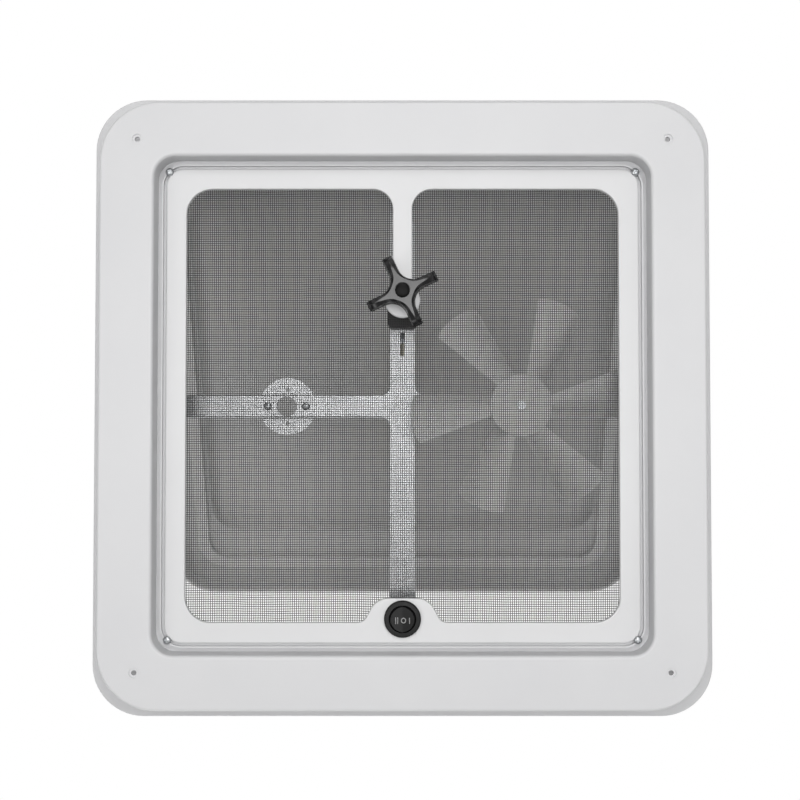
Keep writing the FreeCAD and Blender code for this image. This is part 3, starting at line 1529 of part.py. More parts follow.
def make_switch():
    bezel_low = frame_front - S.bezel_thick
    back = frame_front + S.barrel_depth
    recess = S.rocker_radius + S.rocker_gap
    floor = rocker_level + S.rocker_radius
    body = turned("switch_body", [
        (recess, bezel_low), (S.bezel_radius - 0.8, bezel_low), (S.bezel_radius, bezel_low + 0.8),
        (S.bezel_radius, frame_front), (S.barrel_radius, frame_front), (S.barrel_radius, back),
        (0, back), (0, floor), (recess, floor),
    ])
    pin_hole = new_sketch(body, "XZ_Plane", S.rocker_radius + S.rocker_pin)
    draw_circle(pin_hole, 0, rocker_level, S.rocker_pin + S.running_fit)
    add_pocket(body, pin_hole, 2 * (S.rocker_radius + S.rocker_pin))
    body.Placement = switch_place
    keep(body)
    tabs = []
    for spot in switch_tab_spots():
        tabs.append(Part.makeBox(
            S.terminal_thick.number, S.terminal_width.number, S.terminal_length.number,
            spot - Vector(S.terminal_thick.number / 2, S.terminal_width.number / 2, 0),
        ))
    keep(feature_of("switch_terminals", Part.makeCompound(tabs)))
    make_rocker()


def switch_tab_spots():
    """Foot of each of the switch's three terminal tabs."""
    step = S.barrel_radius.number * 0.55
    level = frame_front.number + S.barrel_depth.number
    return [Vector(x, switch_y.number, level) for x in (-step, 0, step)]


def make_rocker():
    """A round rocker whose ball-shaped sides clear its recess at every tilt."""
    radius = S.rocker_radius.number
    level = rocker_level.number
    tilt = math.tan(math.radians(S.rocker_tilt_angle.number))
    center = Vector(0, 0, level)
    ball = Part.makeSphere(radius, center)
    valley = level - radius * 0.36
    back = level + radius * 0.45
    reach = radius + 1
    wing = valley - reach * tilt
    outline = [(-reach, wing), (0, valley), (reach, wing), (reach, back), (-reach, back)]
    points = [Vector(x, -reach, z) for x, z in outline + outline[:1]]
    wedge = Part.Face(Part.makePolygon(points)).extrude(Vector(0, 2 * reach, 0))
    pin_half = radius + S.rocker_pin.number - S.rocker_gap.number / 2
    pin = Part.makeCylinder(S.rocker_pin.number, 2 * pin_half, Vector(0, -pin_half, level), Vector(0, 1, 0))
    rocker = ball.common(wedge).fuse(pin).removeSplitter()
    return keep(feature_of("switch_rocker", rocker, switch_place))


def lead_routes():
    """Corner points of both leads: off the motor, down into the channel, along it to the switch."""
    tab_side = S.terminal_width.number / 2
    tab_middle = S.terminal_length.number / 2
    seat_edge = S.seat_radius.number
    half = S.lead_spread.number / 2
    bend = S.lead_bend.number
    floor = web_top.number + S.lead_radius.number + S.lead_lift.number
    routes = []
    for motor_tab, switch_tab in zip(motor_tab_spots(), switch_tab_spots()[::2]):
        side = math.copysign(half, motor_tab.y)
        start = motor_tab + Vector(tab_side, 0, tab_middle)
        clear = motor_tab.x + seat_edge
        end = switch_tab + Vector(0, 0, S.terminal_length.number)
        routes.append([
            start,
            Vector(clear - 1, start.y, start.z),
            Vector(clear + bend / 2, side, (start.z + floor) / 2),
            Vector(clear + bend, side, floor),
            Vector(side - bend, side, floor),
            Vector(side, side, floor),
            Vector(side, side - bend, floor),
            Vector(side, end.y, floor),
            Vector(side, end.y, floor - S.lead_drop.number),
            Vector(end.x, end.y, end.z + S.lead_slack.number),
            end,
        ])
    return routes


def split_runs(points):
    """Put points along every long run, so that no run is longer than the sheet allows."""
    longest = S.lead_run.number
    path = [points[0]]
    for start, stop in zip(points, points[1:]):
        pieces = math.ceil((stop - start).Length / longest)
        for piece in range(1, pieces + 1):
            path.append(start + (stop - start) * (piece / pieces))
    return path


def tube_along(points, radius):
    """A round tube on straight runs joined by tangent arcs; gives the solid and its volume by length."""
    edges = []
    here = points[0]
    for corner, following in zip(points[1:], points[2:]):
        arriving = (corner - here).normalize()
        leaving = (following - corner).normalize()
        bend = arriving.getAngle(leaving)
        if bend < 0.01:
            edges.append(Part.LineSegment(here, corner).toShape())
            here = corner
            continue
        shorter = min((corner - here).Length, (following - corner).Length)
        setback = 0.45 * shorter
        begin = corner - arriving * setback
        finish = corner + leaving * setback
        inwards = (leaving - arriving).normalize()
        bend_radius = setback / math.tan(bend / 2)
        center = corner + inwards * (bend_radius / math.cos(bend / 2))
        crown = center - inwards * bend_radius
        edges.append(Part.LineSegment(here, begin).toShape())
        edges.append(Part.Arc(begin, crown, finish).toShape())
        here = finish
    edges.append(Part.LineSegment(here, points[-1]).toShape())
    path = Part.Wire(edges)
    heading = (points[1] - points[0]).normalize()
    ring = Part.Wire(Part.makeCircle(radius, points[0], heading))
    tube = path.makePipeShell([ring], True, False)
    return tube, path.Length * math.pi * radius ** 2


def make_leads():
    radius = S.lead_radius.number
    tubes = []
    for route in lead_routes():
        tube, expected = tube_along(split_runs(route), radius)
        if abs(tube.Volume - expected) > 0.02 * expected:
            raise RuntimeError(f"a lead has volume {tube.Volume:.1f}, not {expected:.1f}")
        tubes.append(tube)
    print("cord radius motor_leads", radius)
    return keep(feature_of("motor_leads", Part.makeCompound(tubes)))


make_roof_base()
make_hinge_pins()
make_garnish()
make_screen_frame()
make_insect_screen()
make_screen_retainer()
make_frame_screws()
make_support_bracket()
make_bracket_screws()
make_motor_seats()
make_seat_rivets()
make_motor()
make_fan()
make_operator()
make_lift_gear()
make_lift_arm()
make_crank()
make_lid_panel()
make_lid_seal()
make_lid_knuckles()
make_lift_track()
make_switch()
make_leads()
doc.recompute()

for item in doc.Objects:
    if "Invalid" in item.State or "Error" in item.State:
        raise RuntimeError(f"{item.Name} failed: {item.State}")
for node in nodes:
    if node.Shape.isNull() or not node.Shape.isValid():
        raise RuntimeError(f"{node.Label} has no valid shape")

os.makedirs("parts", exist_ok=True)
for node in nodes:
    node.Shape.exportStep(f"parts/{node.Label}.step")
    print(node.Label, len(node.Shape.Solids), round(node.Shape.Volume, 1))
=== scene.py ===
# %% [markdown]
# A camper roof vent, looked at from below as it hangs in the ceiling. The solids come from the packed
# model in metres: +Z points out of the roof, +Y towards the lid's hinge, and the fan hangs at -X.
# They are loaded first, because every piece made here is placed on them.

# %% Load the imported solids
import math

import bmesh
import bpy
import numpy as np
from mathutils import Matrix, Quaternion, Vector


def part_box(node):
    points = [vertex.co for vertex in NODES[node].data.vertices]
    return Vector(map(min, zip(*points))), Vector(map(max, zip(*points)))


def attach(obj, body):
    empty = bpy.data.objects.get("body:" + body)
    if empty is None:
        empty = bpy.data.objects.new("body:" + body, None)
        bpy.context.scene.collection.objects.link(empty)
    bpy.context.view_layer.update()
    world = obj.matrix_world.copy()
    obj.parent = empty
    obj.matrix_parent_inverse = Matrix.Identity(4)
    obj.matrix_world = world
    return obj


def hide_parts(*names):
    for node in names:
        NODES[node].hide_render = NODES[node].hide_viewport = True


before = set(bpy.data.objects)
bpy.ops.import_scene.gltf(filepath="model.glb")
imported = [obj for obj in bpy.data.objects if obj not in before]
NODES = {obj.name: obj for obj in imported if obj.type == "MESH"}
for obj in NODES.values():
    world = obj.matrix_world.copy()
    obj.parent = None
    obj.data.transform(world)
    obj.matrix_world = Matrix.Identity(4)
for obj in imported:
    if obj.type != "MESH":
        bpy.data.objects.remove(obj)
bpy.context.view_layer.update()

MM = 0.001

# %% [markdown]
# Materials and Geometry Nodes are both node trees, so one small function adds a node to either: it sets
# the node's own settings, then feeds each input with a plain value or with another node's output.
# Colours are written as the sRGB hex that a paint chart gives, and turned to linear light here.


# %% Helpers for node trees and colours
def feed(tree, node, feeds):
    """Give inputs of a node plain values or other nodes' outputs."""
    for name, value in feeds.items():
        if isinstance(value, bpy.types.NodeSocket):
            tree.links.new(value, node.inputs[name])
        else:
            node.inputs[name].default_value = value


def put(tree, kind, feeds=None, **settings):
    """Add a node, set it up and feed its inputs."""
    node = tree.nodes.new(kind)
    for name, value in settings.items():
        setattr(node, name, value)
    feed(tree, node, feeds or {})
    return node


def linear(hex_text):
    """Turn an sRGB hex colour into the linear colour that a socket takes."""
    channels = [int(hex_text[step:step + 2], 16) / 255 for step in (1, 3, 5)]
    light = [c / 12.92 if c <= 0.04045 else ((c + 0.055) / 1.055) ** 2.4 for c in channels]
    return (*light, 1.0)


def per_mm(size):
    """Texture scale, in features per metre, for a feature of that many millimetres."""
    return 1 / (size * MM)


def start_finish(name):
    """A new material with its shader and the piece's own coordinates."""
    material = bpy.data.materials.new(name)
    material.use_nodes = True
    tree = material.node_tree
    place = put(tree, "ShaderNodeTexCoord").outputs["Object"]
    return material, tree, tree.nodes["Principled BSDF"], place


print("half grey in linear light:", round(linear("#808080")[0], 3))

# %% [markdown]
# The trim ring and the screen frame are injection-moulded white ABS. A polished mould gives a soft gloss
# with a faint orange peel, and the flow of the plastic leaves slow, very weak changes of tone. The roof
# base is ASA, duller and with a finer, deeper grain. Lid and fan are polypropylene; the lid is thin and
# lets some daylight through, which subsurface scattering gives. The track's natural nylon is yellowish.

# %% White plastics
FLOW_MM = 60
WIPE_MM = 14


def moulded_white(name, first, second, low, high, peel_mm, depth_mm):
    """Moulded white plastic: two close tones, a gloss that wanders a little, and a fine peel."""
    material, tree, shader, place = start_finish(name)
    flow = put(tree, "ShaderNodeTexNoise", {"Vector": place, "Scale": per_mm(FLOW_MM), "Detail": 3.0})
    tone = put(tree, "ShaderNodeMix", {
        "Factor": flow.outputs["Fac"], "A": linear(first), "B": linear(second),
    }, data_type="RGBA")
    wipe = put(tree, "ShaderNodeTexNoise", {"Vector": place, "Scale": per_mm(WIPE_MM), "Detail": 4.0})
    gloss = put(tree, "ShaderNodeMapRange", {"Value": wipe.outputs["Fac"], "To Min": low, "To Max": high})
    peel = put(tree, "ShaderNodeTexNoise", {"Vector": place, "Scale": per_mm(peel_mm), "Detail": 2.0})
    relief = put(tree, "ShaderNodeBump", {"Height": peel.outputs["Fac"], "Distance": depth_mm * MM})
    feed(tree, shader, {
        "Base Color": tone.outputs["Result"], "Roughness": gloss.outputs["Result"],
        "Normal": relief.outputs["Normal"], "IOR": 1.54,
    })
    return material


white_trim = moulded_white("moulded_abs_gloss", "#CECECF", "#C8C8CA", 0.36, 0.48, 2.2, 0.006)
white_frame = moulded_white("moulded_abs_frame", "#D2D2D3", "#CCCCCD", 0.34, 0.46, 2.2, 0.006)
base_white = moulded_white("moulded_asa_matte", "#CFCFD0", "#C5C5C7", 0.48, 0.62, 1.1, 0.02)
lid_white = moulded_white("moulded_polypropylene_lid", "#DADADA", "#D2D2D2", 0.50, 0.64, 1.3, 0.02)
fan_white = moulded_white("moulded_polypropylene_fan", "#F0F0F0", "#EAEAEA", 0.30, 0.44, 1.6, 0.012)
nylon = moulded_white("natural_nylon", "#DAD7C8", "#CFCBBA", 0.42, 0.56, 1.0, 0.01)
feed(lid_white.node_tree, lid_white.node_tree.nodes["Principled BSDF"], {
    "Subsurface Weight": 0.8, "Subsurface Radius": (1.0, 1.0, 1.0), "Subsurface Scale": 6 * MM,
})
print("materials so far:", len(bpy.data.materials))

# %% [markdown]
# The knob, the bearing block and the switch are black moulded plastic. Handled faces are worn smoother,
# so their gloss changes in soft patches, over the spark texture of the mould. That texture is about a tenth
# of a millimetre on the real pieces, too fine to show, so it is drawn at 0.6 to 0.7 mm. The IOR starts from
# 1.49 and is matched down for the cap and the switch, which reflect less.

# %% Black plastics
WEAR_MM = 9


def moulded_black(name, first, second, low, high, grain_mm, depth_mm, ior=1.49):
    """Moulded black plastic with spark-eroded grain and patches of wear."""
    material, tree, shader, place = start_finish(name)
    wear = put(tree, "ShaderNodeTexNoise", {"Vector": place, "Scale": per_mm(WEAR_MM), "Detail": 5.0})
    tone = put(tree, "ShaderNodeMix", {
        "Factor": wear.outputs["Fac"], "A": linear(first), "B": linear(second),
    }, data_type="RGBA")
    gloss = put(tree, "ShaderNodeMapRange", {"Value": wear.outputs["Fac"], "To Min": low, "To Max": high})
    grain = put(tree, "ShaderNodeTexVoronoi", {"Vector": place, "Scale": per_mm(grain_mm)})
    relief = put(tree, "ShaderNodeBump", {"Height": grain.outputs["Distance"], "Distance": depth_mm * MM})
    feed(tree, shader, {
        "Base Color": tone.outputs["Result"], "Roughness": gloss.outputs["Result"],
        "Normal": relief.outputs["Normal"], "IOR": ior,
    })
    return material


knob_black = moulded_black("moulded_acetal_black", "#131314", "#1A1A1B", 0.16, 0.26, 0.7, 0.008)
cap_black = moulded_black("polished_acetal_cap", "#0A0A0A", "#0E0E0E", 0.34, 0.44, 0.7, 0.002, ior=1.20)
block_black = moulded_black("moulded_nylon_black", "#1A1A1B", "#232324", 0.42, 0.58, 0.6, 0.02)
switch_black = moulded_black("switch_abs_black", "#0E0E0F", "#131314", 0.18, 0.28, 0.6, 0.006, ior=1.40)
print("materials so far:", len(bpy.data.materials))

# %% [markdown]
# The cross bracket is pressed from bright zinc-plated strip. Plating leaves a weak cloudy bloom and patches
# of gloss a few millimetres wide, which change the roughness much more than the colour. Where a tool has
# drawn or turned the metal, its fine lines are drawn as the same patches made long: across the axis of the
# turned shafts, and along the motor's nickelled can. Tinned brass is the one warm metal.

# %% Metals
BLOOM_MM = 11
PATCH_MM = 4
PATCH_DEPTH_MM = 0.01
EVEN = (1.0, 1.0, 1.0)


def plated_metal(name, first, second, low, high, along=EVEN):
    """Bright metal with a cloudy bloom, and patches of gloss that are long where an axis is scaled down."""
    material, tree, shader, place = start_finish(name)
    bloom = put(tree, "ShaderNodeTexNoise", {"Vector": place, "Scale": per_mm(BLOOM_MM), "Detail": 5.0})
    tone = put(tree, "ShaderNodeMix", {
        "Factor": bloom.outputs["Fac"], "A": linear(first), "B": linear(second),
    }, data_type="RGBA")
    drawn = put(tree, "ShaderNodeMapping", {"Vector": place, "Scale": along})
    patch = put(tree, "ShaderNodeTexNoise", {
        "Vector": drawn.outputs["Vector"], "Scale": per_mm(PATCH_MM), "Detail": 2.0,
    })
    gloss = put(tree, "ShaderNodeMapRange", {"Value": patch.outputs["Fac"], "To Min": low, "To Max": high})
    relief = put(tree, "ShaderNodeBump", {"Height": patch.outputs["Fac"], "Distance": PATCH_DEPTH_MM * MM})
    feed(tree, shader, {
        "Base Color": tone.outputs["Result"], "Roughness": gloss.outputs["Result"],
        "Normal": relief.outputs["Normal"], "Metallic": 1.0,
    })
    return material


zinc_strip = plated_metal("bright_zinc_strip", "#E0E1E2", "#D6D7D9", 0.38, 0.46, along=(1.0, 1.0, 0.05))
zinc_screw = plated_metal("bright_zinc_screw", "#C9CBCC", "#AEB1B4", 0.22, 0.40)
turned_steel = plated_metal("turned_steel", "#B9BBBD", "#9EA1A4", 0.24, 0.42, along=(0.05, 0.05, 1.0))
tinned_brass = plated_metal("tinned_brass", "#C9B37A", "#AE9763", 0.26, 0.42)
motor_steel = plated_metal("nickelled_motor_can", "#BDBFC1", "#A5A8AB", 0.26, 0.40, along=(1.0, 1.0, 0.04))
print("materials so far:", len(bpy.data.materials))

# %% [markdown]
# What is left: the foam strip under the lid, the sintered magnets and laminations inside the motor, the
# insulation of the leads, the coated glass fibre of the screen and the ink of the switch's marks. All are
# dull with an even grain, and differ in tone, in gloss and in how coarse that grain is.

# %% Foam, ferrite, insulation, fibre and ink
GLOSS_SPREAD = 0.06


def grainy(name, first, second, rough, grain_mm, depth_mm):
    """A dull surface with an even grain, such as foam, ferrite or a coated fibre."""
    material, tree, shader, place = start_finish(name)
    grain = put(tree, "ShaderNodeTexNoise", {"Vector": place, "Scale": per_mm(grain_mm), "Detail": 4.0})
    tone = put(tree, "ShaderNodeMix", {
        "Factor": grain.outputs["Fac"], "A": linear(first), "B": linear(second),
    }, data_type="RGBA")
    gloss = put(tree, "ShaderNodeMapRange", {
        "Value": grain.outputs["Fac"], "To Min": rough - GLOSS_SPREAD, "To Max": rough + GLOSS_SPREAD,
    })
    relief = put(tree, "ShaderNodeBump", {"Height": grain.outputs["Fac"], "Distance": depth_mm * MM})
    feed(tree, shader, {
        "Base Color": tone.outputs["Result"], "Roughness": gloss.outputs["Result"],
        "Normal": relief.outputs["Normal"],
    })
    return material


foam = grainy("white_foam_rubber", "#ECECEC", "#E4E4E4", 0.85, 1.2, 0.15)
ferrite = grainy("sintered_ferrite", "#3B3B3D", "#2E2E30", 0.70, 0.5, 0.03)
insulation = grainy("pvc_insulation", "#222223", "#2A2A2B", 0.45, 3.0, 0.01)
fibre = grainy("coated_glass_fibre", "#202020", "#2B2B2B", 0.55, 0.8, 0.01)
ink = grainy("grey_pad_print", "#8C8C8C", "#808080", 0.55, 0.6, 0.004)
print("materials so far:", len(bpy.data.materials))

# %% [markdown]
# Each solid keeps its shape and only swaps its plain material for the finish of the real piece.

# %% Dress the solids
DRESS = {
    white_trim: ["garnish"],
    white_frame: ["screen_frame"],
    base_white: ["roof_base", "screen_retainer"],
    lid_white: ["lid_panel", "lid_knuckles"],
    fan_white: ["fan_wheel"],
    nylon: ["lift_track", "track_glides"],
    knob_black: ["crank_knob", "knob_screw"],
    block_black: ["operator_block", "operator_housing", "motor_end_cap"],
    switch_black: ["switch_body", "switch_rocker"],
    zinc_strip: ["support_bracket", "motor_seats", "lift_arm"],
    zinc_screw: [
        "screen_frame_screws", "bracket_screws", "seat_rivets", "motor_screws", "operator_screws",
        "track_screws", "knuckle_rivets", "arm_rivets", "hub_clip",
    ],
    turned_steel: [
        "hinge_pins", "arm_pivot_pin", "glide_axle", "crank_shaft", "worm", "lift_gear", "motor_shaft",
    ],
    tinned_brass: ["motor_terminals", "switch_terminals", "motor_bushes", "motor_commutator"],
    motor_steel: ["motor_can"],
    ferrite: ["motor_magnets", "motor_armature", "motor_brushes"],
    foam: ["lid_seal"],
    insulation: ["motor_leads"],
    fibre: ["insect_screen"],
}
for finish, names in DRESS.items():
    for name in names:
        NODES[name].data.materials.clear()
        NODES[name].data.materials.append(finish)
print("dressed:", sum(len(names) for names in DRESS.values()), "of", len(NODES))

# %% [markdown]
# Pieces that repeat are grown with Geometry Nodes. A tree is built once with named sizes; it runs on a
# small seed mesh, and the result is kept as a plain mesh, because the export drops live modifiers.


# %% Helpers for growing pieces
def link(piece):
    """Put an object into the scene."""
    bpy.context.scene.collection.objects.link(piece)
    return piece


def start_tree(name, sizes):
    """A Geometry Nodes tree with a geometry input, named sizes and a geometry output."""
    tree = bpy.data.node_groups.new(name, "GeometryNodeTree")
    tree.interface.new_socket("Geometry", in_out="INPUT", socket_type="NodeSocketGeometry")
    for size in sizes:
        tree.interface.new_socket(size, in_out="INPUT", socket_type="NodeSocketFloat")
    tree.interface.new_socket("Geometry", in_out="OUTPUT", socket_type="NodeSocketGeometry")
    return tree, put(tree, "NodeGroupInput").outputs


def end_tree(tree, geometry, finish):
    """Close a tree: make instances real and give the result its material."""
    real = put(tree, "GeometryNodeRealizeInstances", {"Geometry": geometry}).outputs["Geometry"]
    coloured = put(tree, "GeometryNodeSetMaterial", {"Geometry": real, "Material": finish})
    put(tree, "NodeGroupOutput", {"Geometry": coloured.outputs["Geometry"]})


def grow(name, tree, seed_mesh, sizes):
    """Run a tree on a seed mesh and keep what it makes as a plain mesh object."""
    seed = link(bpy.data.objects.new(name + ".seed", seed_mesh))
    modifier = seed.modifiers.new("grow", "NODES")
    modifier.node_group = tree
    for item in tree.interface.items_tree:
        if item.item_type == "SOCKET" and item.in_out == "INPUT" and item.name in sizes:
            modifier[item.identifier] = float(sizes[item.name])
    graph = bpy.context.evaluated_depsgraph_get()
    mesh = bpy.data.meshes.new_from_object(seed.evaluated_get(graph))
    mesh.name = name
    # A seed without a material leaves an empty slot in front
    while mesh.materials[0] is None:
        mesh.materials.pop(index=0)
    bpy.data.objects.remove(seed)
    return link(bpy.data.objects.new(name, mesh))


# %% [markdown]
# The insect screen is a plain weave of coated glass fibre: one set of strands about every 1.5 mm, the other
# about every 1.6 mm, each about half a millimetre thick. A texture would do from far away, but light has to
# pass between the strands, so every strand is a real bar. A slow noise lets the strands wander a little on
# their way, and each sits a trifle off its place. Two round holes let the crank's shaft and the switch
# through.

# %% Sizes of the insect screen
screen_low, screen_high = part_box("insect_screen")
switch_low, switch_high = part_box("switch_body")
shaft_low, shaft_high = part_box("crank_shaft")
SHAFT_Y = (shaft_low.y + shaft_high.y) / 2
SWITCH_Y = (switch_low.y + switch_high.y) / 2
STRAND = 0.46 * MM
PITCH_ACROSS = 1.49 * MM
PITCH_ALONG = 1.585 * MM
SCREEN_HALF = 153.2 * MM
SCREEN_HOLES = [(SHAFT_Y, 5.2 * MM), (SWITCH_Y, 11.4 * MM)]
SWAY = 0.9 * MM
SWAY_MM = 22
DRIFT = 0.05 * MM
STRAND_SIDES = 6
STRAND_POINTS = 28
print("strands:", int(2 * SCREEN_HALF / PITCH_ACROSS), "by", int(2 * SCREEN_HALF / PITCH_ALONG))


# %% A grid for the screen
def holed_grid(tree, given, here):
    """The edges of a grid at the two pitches, gone where the holes are."""
    across, along = [
        put(tree, "ShaderNodeMath", {0: given["Width"], 1: given[pitch]}, operation="DIVIDE").outputs[0]
        for pitch in ("Pitch across", "Pitch along")
    ]
    grid = put(tree, "GeometryNodeMeshGrid", {
        "Size X": given["Width"], "Size Y": given["Width"], "Vertices X": across, "Vertices Y": along,
    }).outputs["Mesh"]
    grid = put(tree, "GeometryNodeDeleteGeometry", {
        "Geometry": grid,
    }, domain="FACE", mode="ONLY_FACE").outputs["Geometry"]
    for y, radius in SCREEN_HOLES:
        away = put(tree, "ShaderNodeVectorMath", {0: here, 1: (0.0, y, 0.0)}, operation="DISTANCE")
        inside = put(tree, "ShaderNodeMath", {0: away.outputs["Value"], 1: radius}, operation="LESS_THAN")
        grid = put(tree, "GeometryNodeDeleteGeometry", {
            "Geometry": grid, "Selection": inside.outputs[0],
        }).outputs["Geometry"]
    return grid


# %% Where the strands leave the grid
def strand_shift(tree, given, here, lift, seed):
    """How far a strand's points leave the grid: up or down, off their place, and swaying."""
    sway = put(tree, "ShaderNodeTexNoise", {"Vector": here, "Scale": per_mm(SWAY_MM), "Detail": 1.0})
    sway = put(tree, "ShaderNodeVectorMath", {
        0: sway.outputs["Color"], 1: (SWAY, SWAY, 0.0), 2: (-SWAY / 2, -SWAY / 2, 0.0),
    }, operation="MULTIPLY_ADD")
    strand = put(tree, "GeometryNodeCurveOfPoint").outputs["Curve Index"]
    drift = put(tree, "FunctionNodeRandomValue", {
        0: (-DRIFT, -DRIFT, 0), 1: (DRIFT, DRIFT, 0), "ID": strand, "Seed": seed,
    }, data_type="FLOAT_VECTOR")
    height = put(tree, "ShaderNodeMath", {
        0: given["Strand"], 1: lift, 2: given["Level"],
    }, operation="MULTIPLY_ADD").outputs[0]
    height = put(tree, "ShaderNodeCombineXYZ", {"Z": height}).outputs[0]
    shift = put(tree, "ShaderNodeVectorMath", {0: height, 1: drift.outputs[0]}, operation="ADD")
    return put(tree, "ShaderNodeVectorMath", {
        0: shift.outputs["Vector"], 1: sway.outputs["Vector"],
    }, operation="ADD").outputs["Vector"]


# %% A tree for the screen
def screen_tree():
    """Strands along both sides of a grid, one set above the other."""
    tree, given = start_tree("woven_screen", ["Width", "Pitch across", "Pitch along", "Strand", "Level"])
    here = put(tree, "GeometryNodeInputPosition").outputs["Position"]
    grid = holed_grid(tree, given, here)
    ends = put(tree, "GeometryNodeInputMeshEdgeVertices").outputs
    run = put(tree, "ShaderNodeVectorMath", {
        0: ends["Position 1"], 1: ends["Position 2"],
    }, operation="SUBTRACT").outputs["Vector"]
    run = put(tree, "ShaderNodeVectorMath", {0: run}, operation="ABSOLUTE").outputs["Vector"]
    run = put(tree, "ShaderNodeSeparateXYZ", {0: run}).outputs
    radius = put(tree, "ShaderNodeMath", {0: given["Strand"], 1: 0.5}, operation="MULTIPLY").outputs[0]
    profile = put(tree, "GeometryNodeCurvePrimitiveCircle", {"Resolution": STRAND_SIDES, "Radius": radius})
    woven = put(tree, "GeometryNodeJoinGeometry")
    for first, second, lift, seed in (("X", "Y", 0.5, 3), ("Y", "X", -0.5, 8)):
        other = put(tree, "ShaderNodeMath", {0: run[first], 1: run[second]}, operation="LESS_THAN")
        rows = put(tree, "GeometryNodeDeleteGeometry", {
            "Geometry": grid, "Selection": other.outputs[0],
        }, domain="EDGE", mode="EDGE_FACE")
        lines = put(tree, "GeometryNodeMeshToCurve", {"Mesh": rows.outputs["Geometry"]})
        lines = put(tree, "GeometryNodeResampleCurve", {
            "Curve": lines.outputs["Curve"], "Count": STRAND_POINTS,
        })
        lines = put(tree, "GeometryNodeSetPosition", {
            "Geometry": lines.outputs["Curve"], "Offset": strand_shift(tree, given, here, lift, seed),
        })
        strands = put(tree, "GeometryNodeCurveToMesh", {
            "Curve": lines.outputs["Geometry"], "Profile Curve": profile.outputs["Curve"], "Fill Caps": True,
        })
        tree.links.new(strands.outputs["Mesh"], woven.inputs["Geometry"])
    end_tree(tree, woven.outputs["Geometry"], fibre)
    return tree


# %% Insect screen
screen = grow("screen_weave", screen_tree(), bpy.data.meshes.new("screen_seed"), {
    "Width": 2 * SCREEN_HALF, "Pitch across": PITCH_ACROSS, "Pitch along": PITCH_ALONG, "Strand": STRAND,
    "Level": (screen_low.z + screen_high.z) / 2,
})
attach(screen, "base")
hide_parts("insect_screen")
print("screen strands:", len(screen.data.polygons), "faces")

# %% [markdown]
# Small fasteners: pan-head screws with a cross recess, and rivets with a low dome at both ends. Typing
# their places again would invite mistakes, so these are read from the solids: each fastener is a round
# body, so its points spread differently along one axis than along the other two, and that is its axis.


# %% Find the fasteners in the solids
def loose_bodies(mesh):
    """Split a solid's triangles into its separate bodies, each a list of points."""
    shape = bmesh.new()
    shape.from_mesh(mesh)
    bmesh.ops.remove_doubles(shape, verts=shape.verts, dist=1e-6)
    shape.verts.index_update()
    seen = [False] * len(shape.verts)
    bodies = []
    for first in shape.verts:
        if seen[first.index]:
            continue
        seen[first.index] = True
        waiting, body = [first], []
        while waiting:
            point = waiting.pop()
            body.append(tuple(point.co))
            for edge in point.link_edges:
                other = edge.other_vert(point)
                if not seen[other.index]:
                    seen[other.index] = True
                    waiting.append(other)
        bodies.append(np.array(body))
    shape.free()
    return bodies


def measure_fastener(points):
    """The middle of a fastener's head face, the way its shank points, its length and its head radius."""
    middle = points.mean(axis=0)
    spread, directions = np.linalg.eigh(np.cov((points - middle).T))
    axis = directions[:, 2] if spread[2] - spread[1] > spread[1] - spread[0] else directions[:, 0]
    along = (points - middle) @ axis
    away = np.linalg.norm(points - middle - np.outer(along, axis), axis=1)
    rim = along[away > 0.98 * away.max()].mean()
    if abs(along.max() - rim) < abs(rim - along.min()):
        axis, along = -axis, -along
    return Vector(middle + axis * along.min()), Vector(axis), float(np.ptp(along)), float(away.max())


print("frame screws found:", len(loose_bodies(NODES["screen_frame_screws"].data)))

# %% [markdown]
# One tree makes a fastener from plain sizes and sets it on every point of the seed, turned as the point
# says. The head starts as a ball of radius 1: one block takes its upper half, two bars cut the cross, and
# only then is it stretched to the head's real radius and height.

# %% Head of a screw or rivet
UPPER_HALF = ((4, 4, 2), (0, 0, 2))
CROSS_BARS = [((1.1, 0.26, 0.8), (0, 0, 0.2)), ((0.26, 1.1, 0.8), (0, 0, 0.2))]
SHARP_FOLD = 0.6


def fastener_head(tree, given, is_screw):
    """Half a ball, with a cross recess for a screw, stretched to its radius and height."""
    head = put(tree, "GeometryNodeMeshUVSphere", {"Segments": 28, "Rings": 14, "Radius": 1.0})
    head = put(tree, "GeometryNodeTransform", {"Geometry": head.outputs["Mesh"], "Translation": (0, 0, 1)})
    head = head.outputs["Geometry"]
    for size, place in [UPPER_HALF] + (CROSS_BARS if is_screw else []):
        block = put(tree, "GeometryNodeMeshCube", {"Size": size}).outputs["Mesh"]
        block = put(tree, "GeometryNodeTransform", {"Geometry": block, "Translation": place})
        head = put(tree, "GeometryNodeMeshBoolean", {
            "Mesh 1": head, "Mesh 2": block.outputs["Geometry"],
        }, operation="DIFFERENCE", solver="EXACT").outputs["Mesh"]
    stretch = put(tree, "ShaderNodeCombineXYZ", {
        "X": given["Head radius"], "Y": given["Head radius"], "Z": given["Head height"],
    }).outputs[0]
    return put(tree, "GeometryNodeTransform", {"Geometry": head, "Scale": stretch}).outputs["Geometry"]


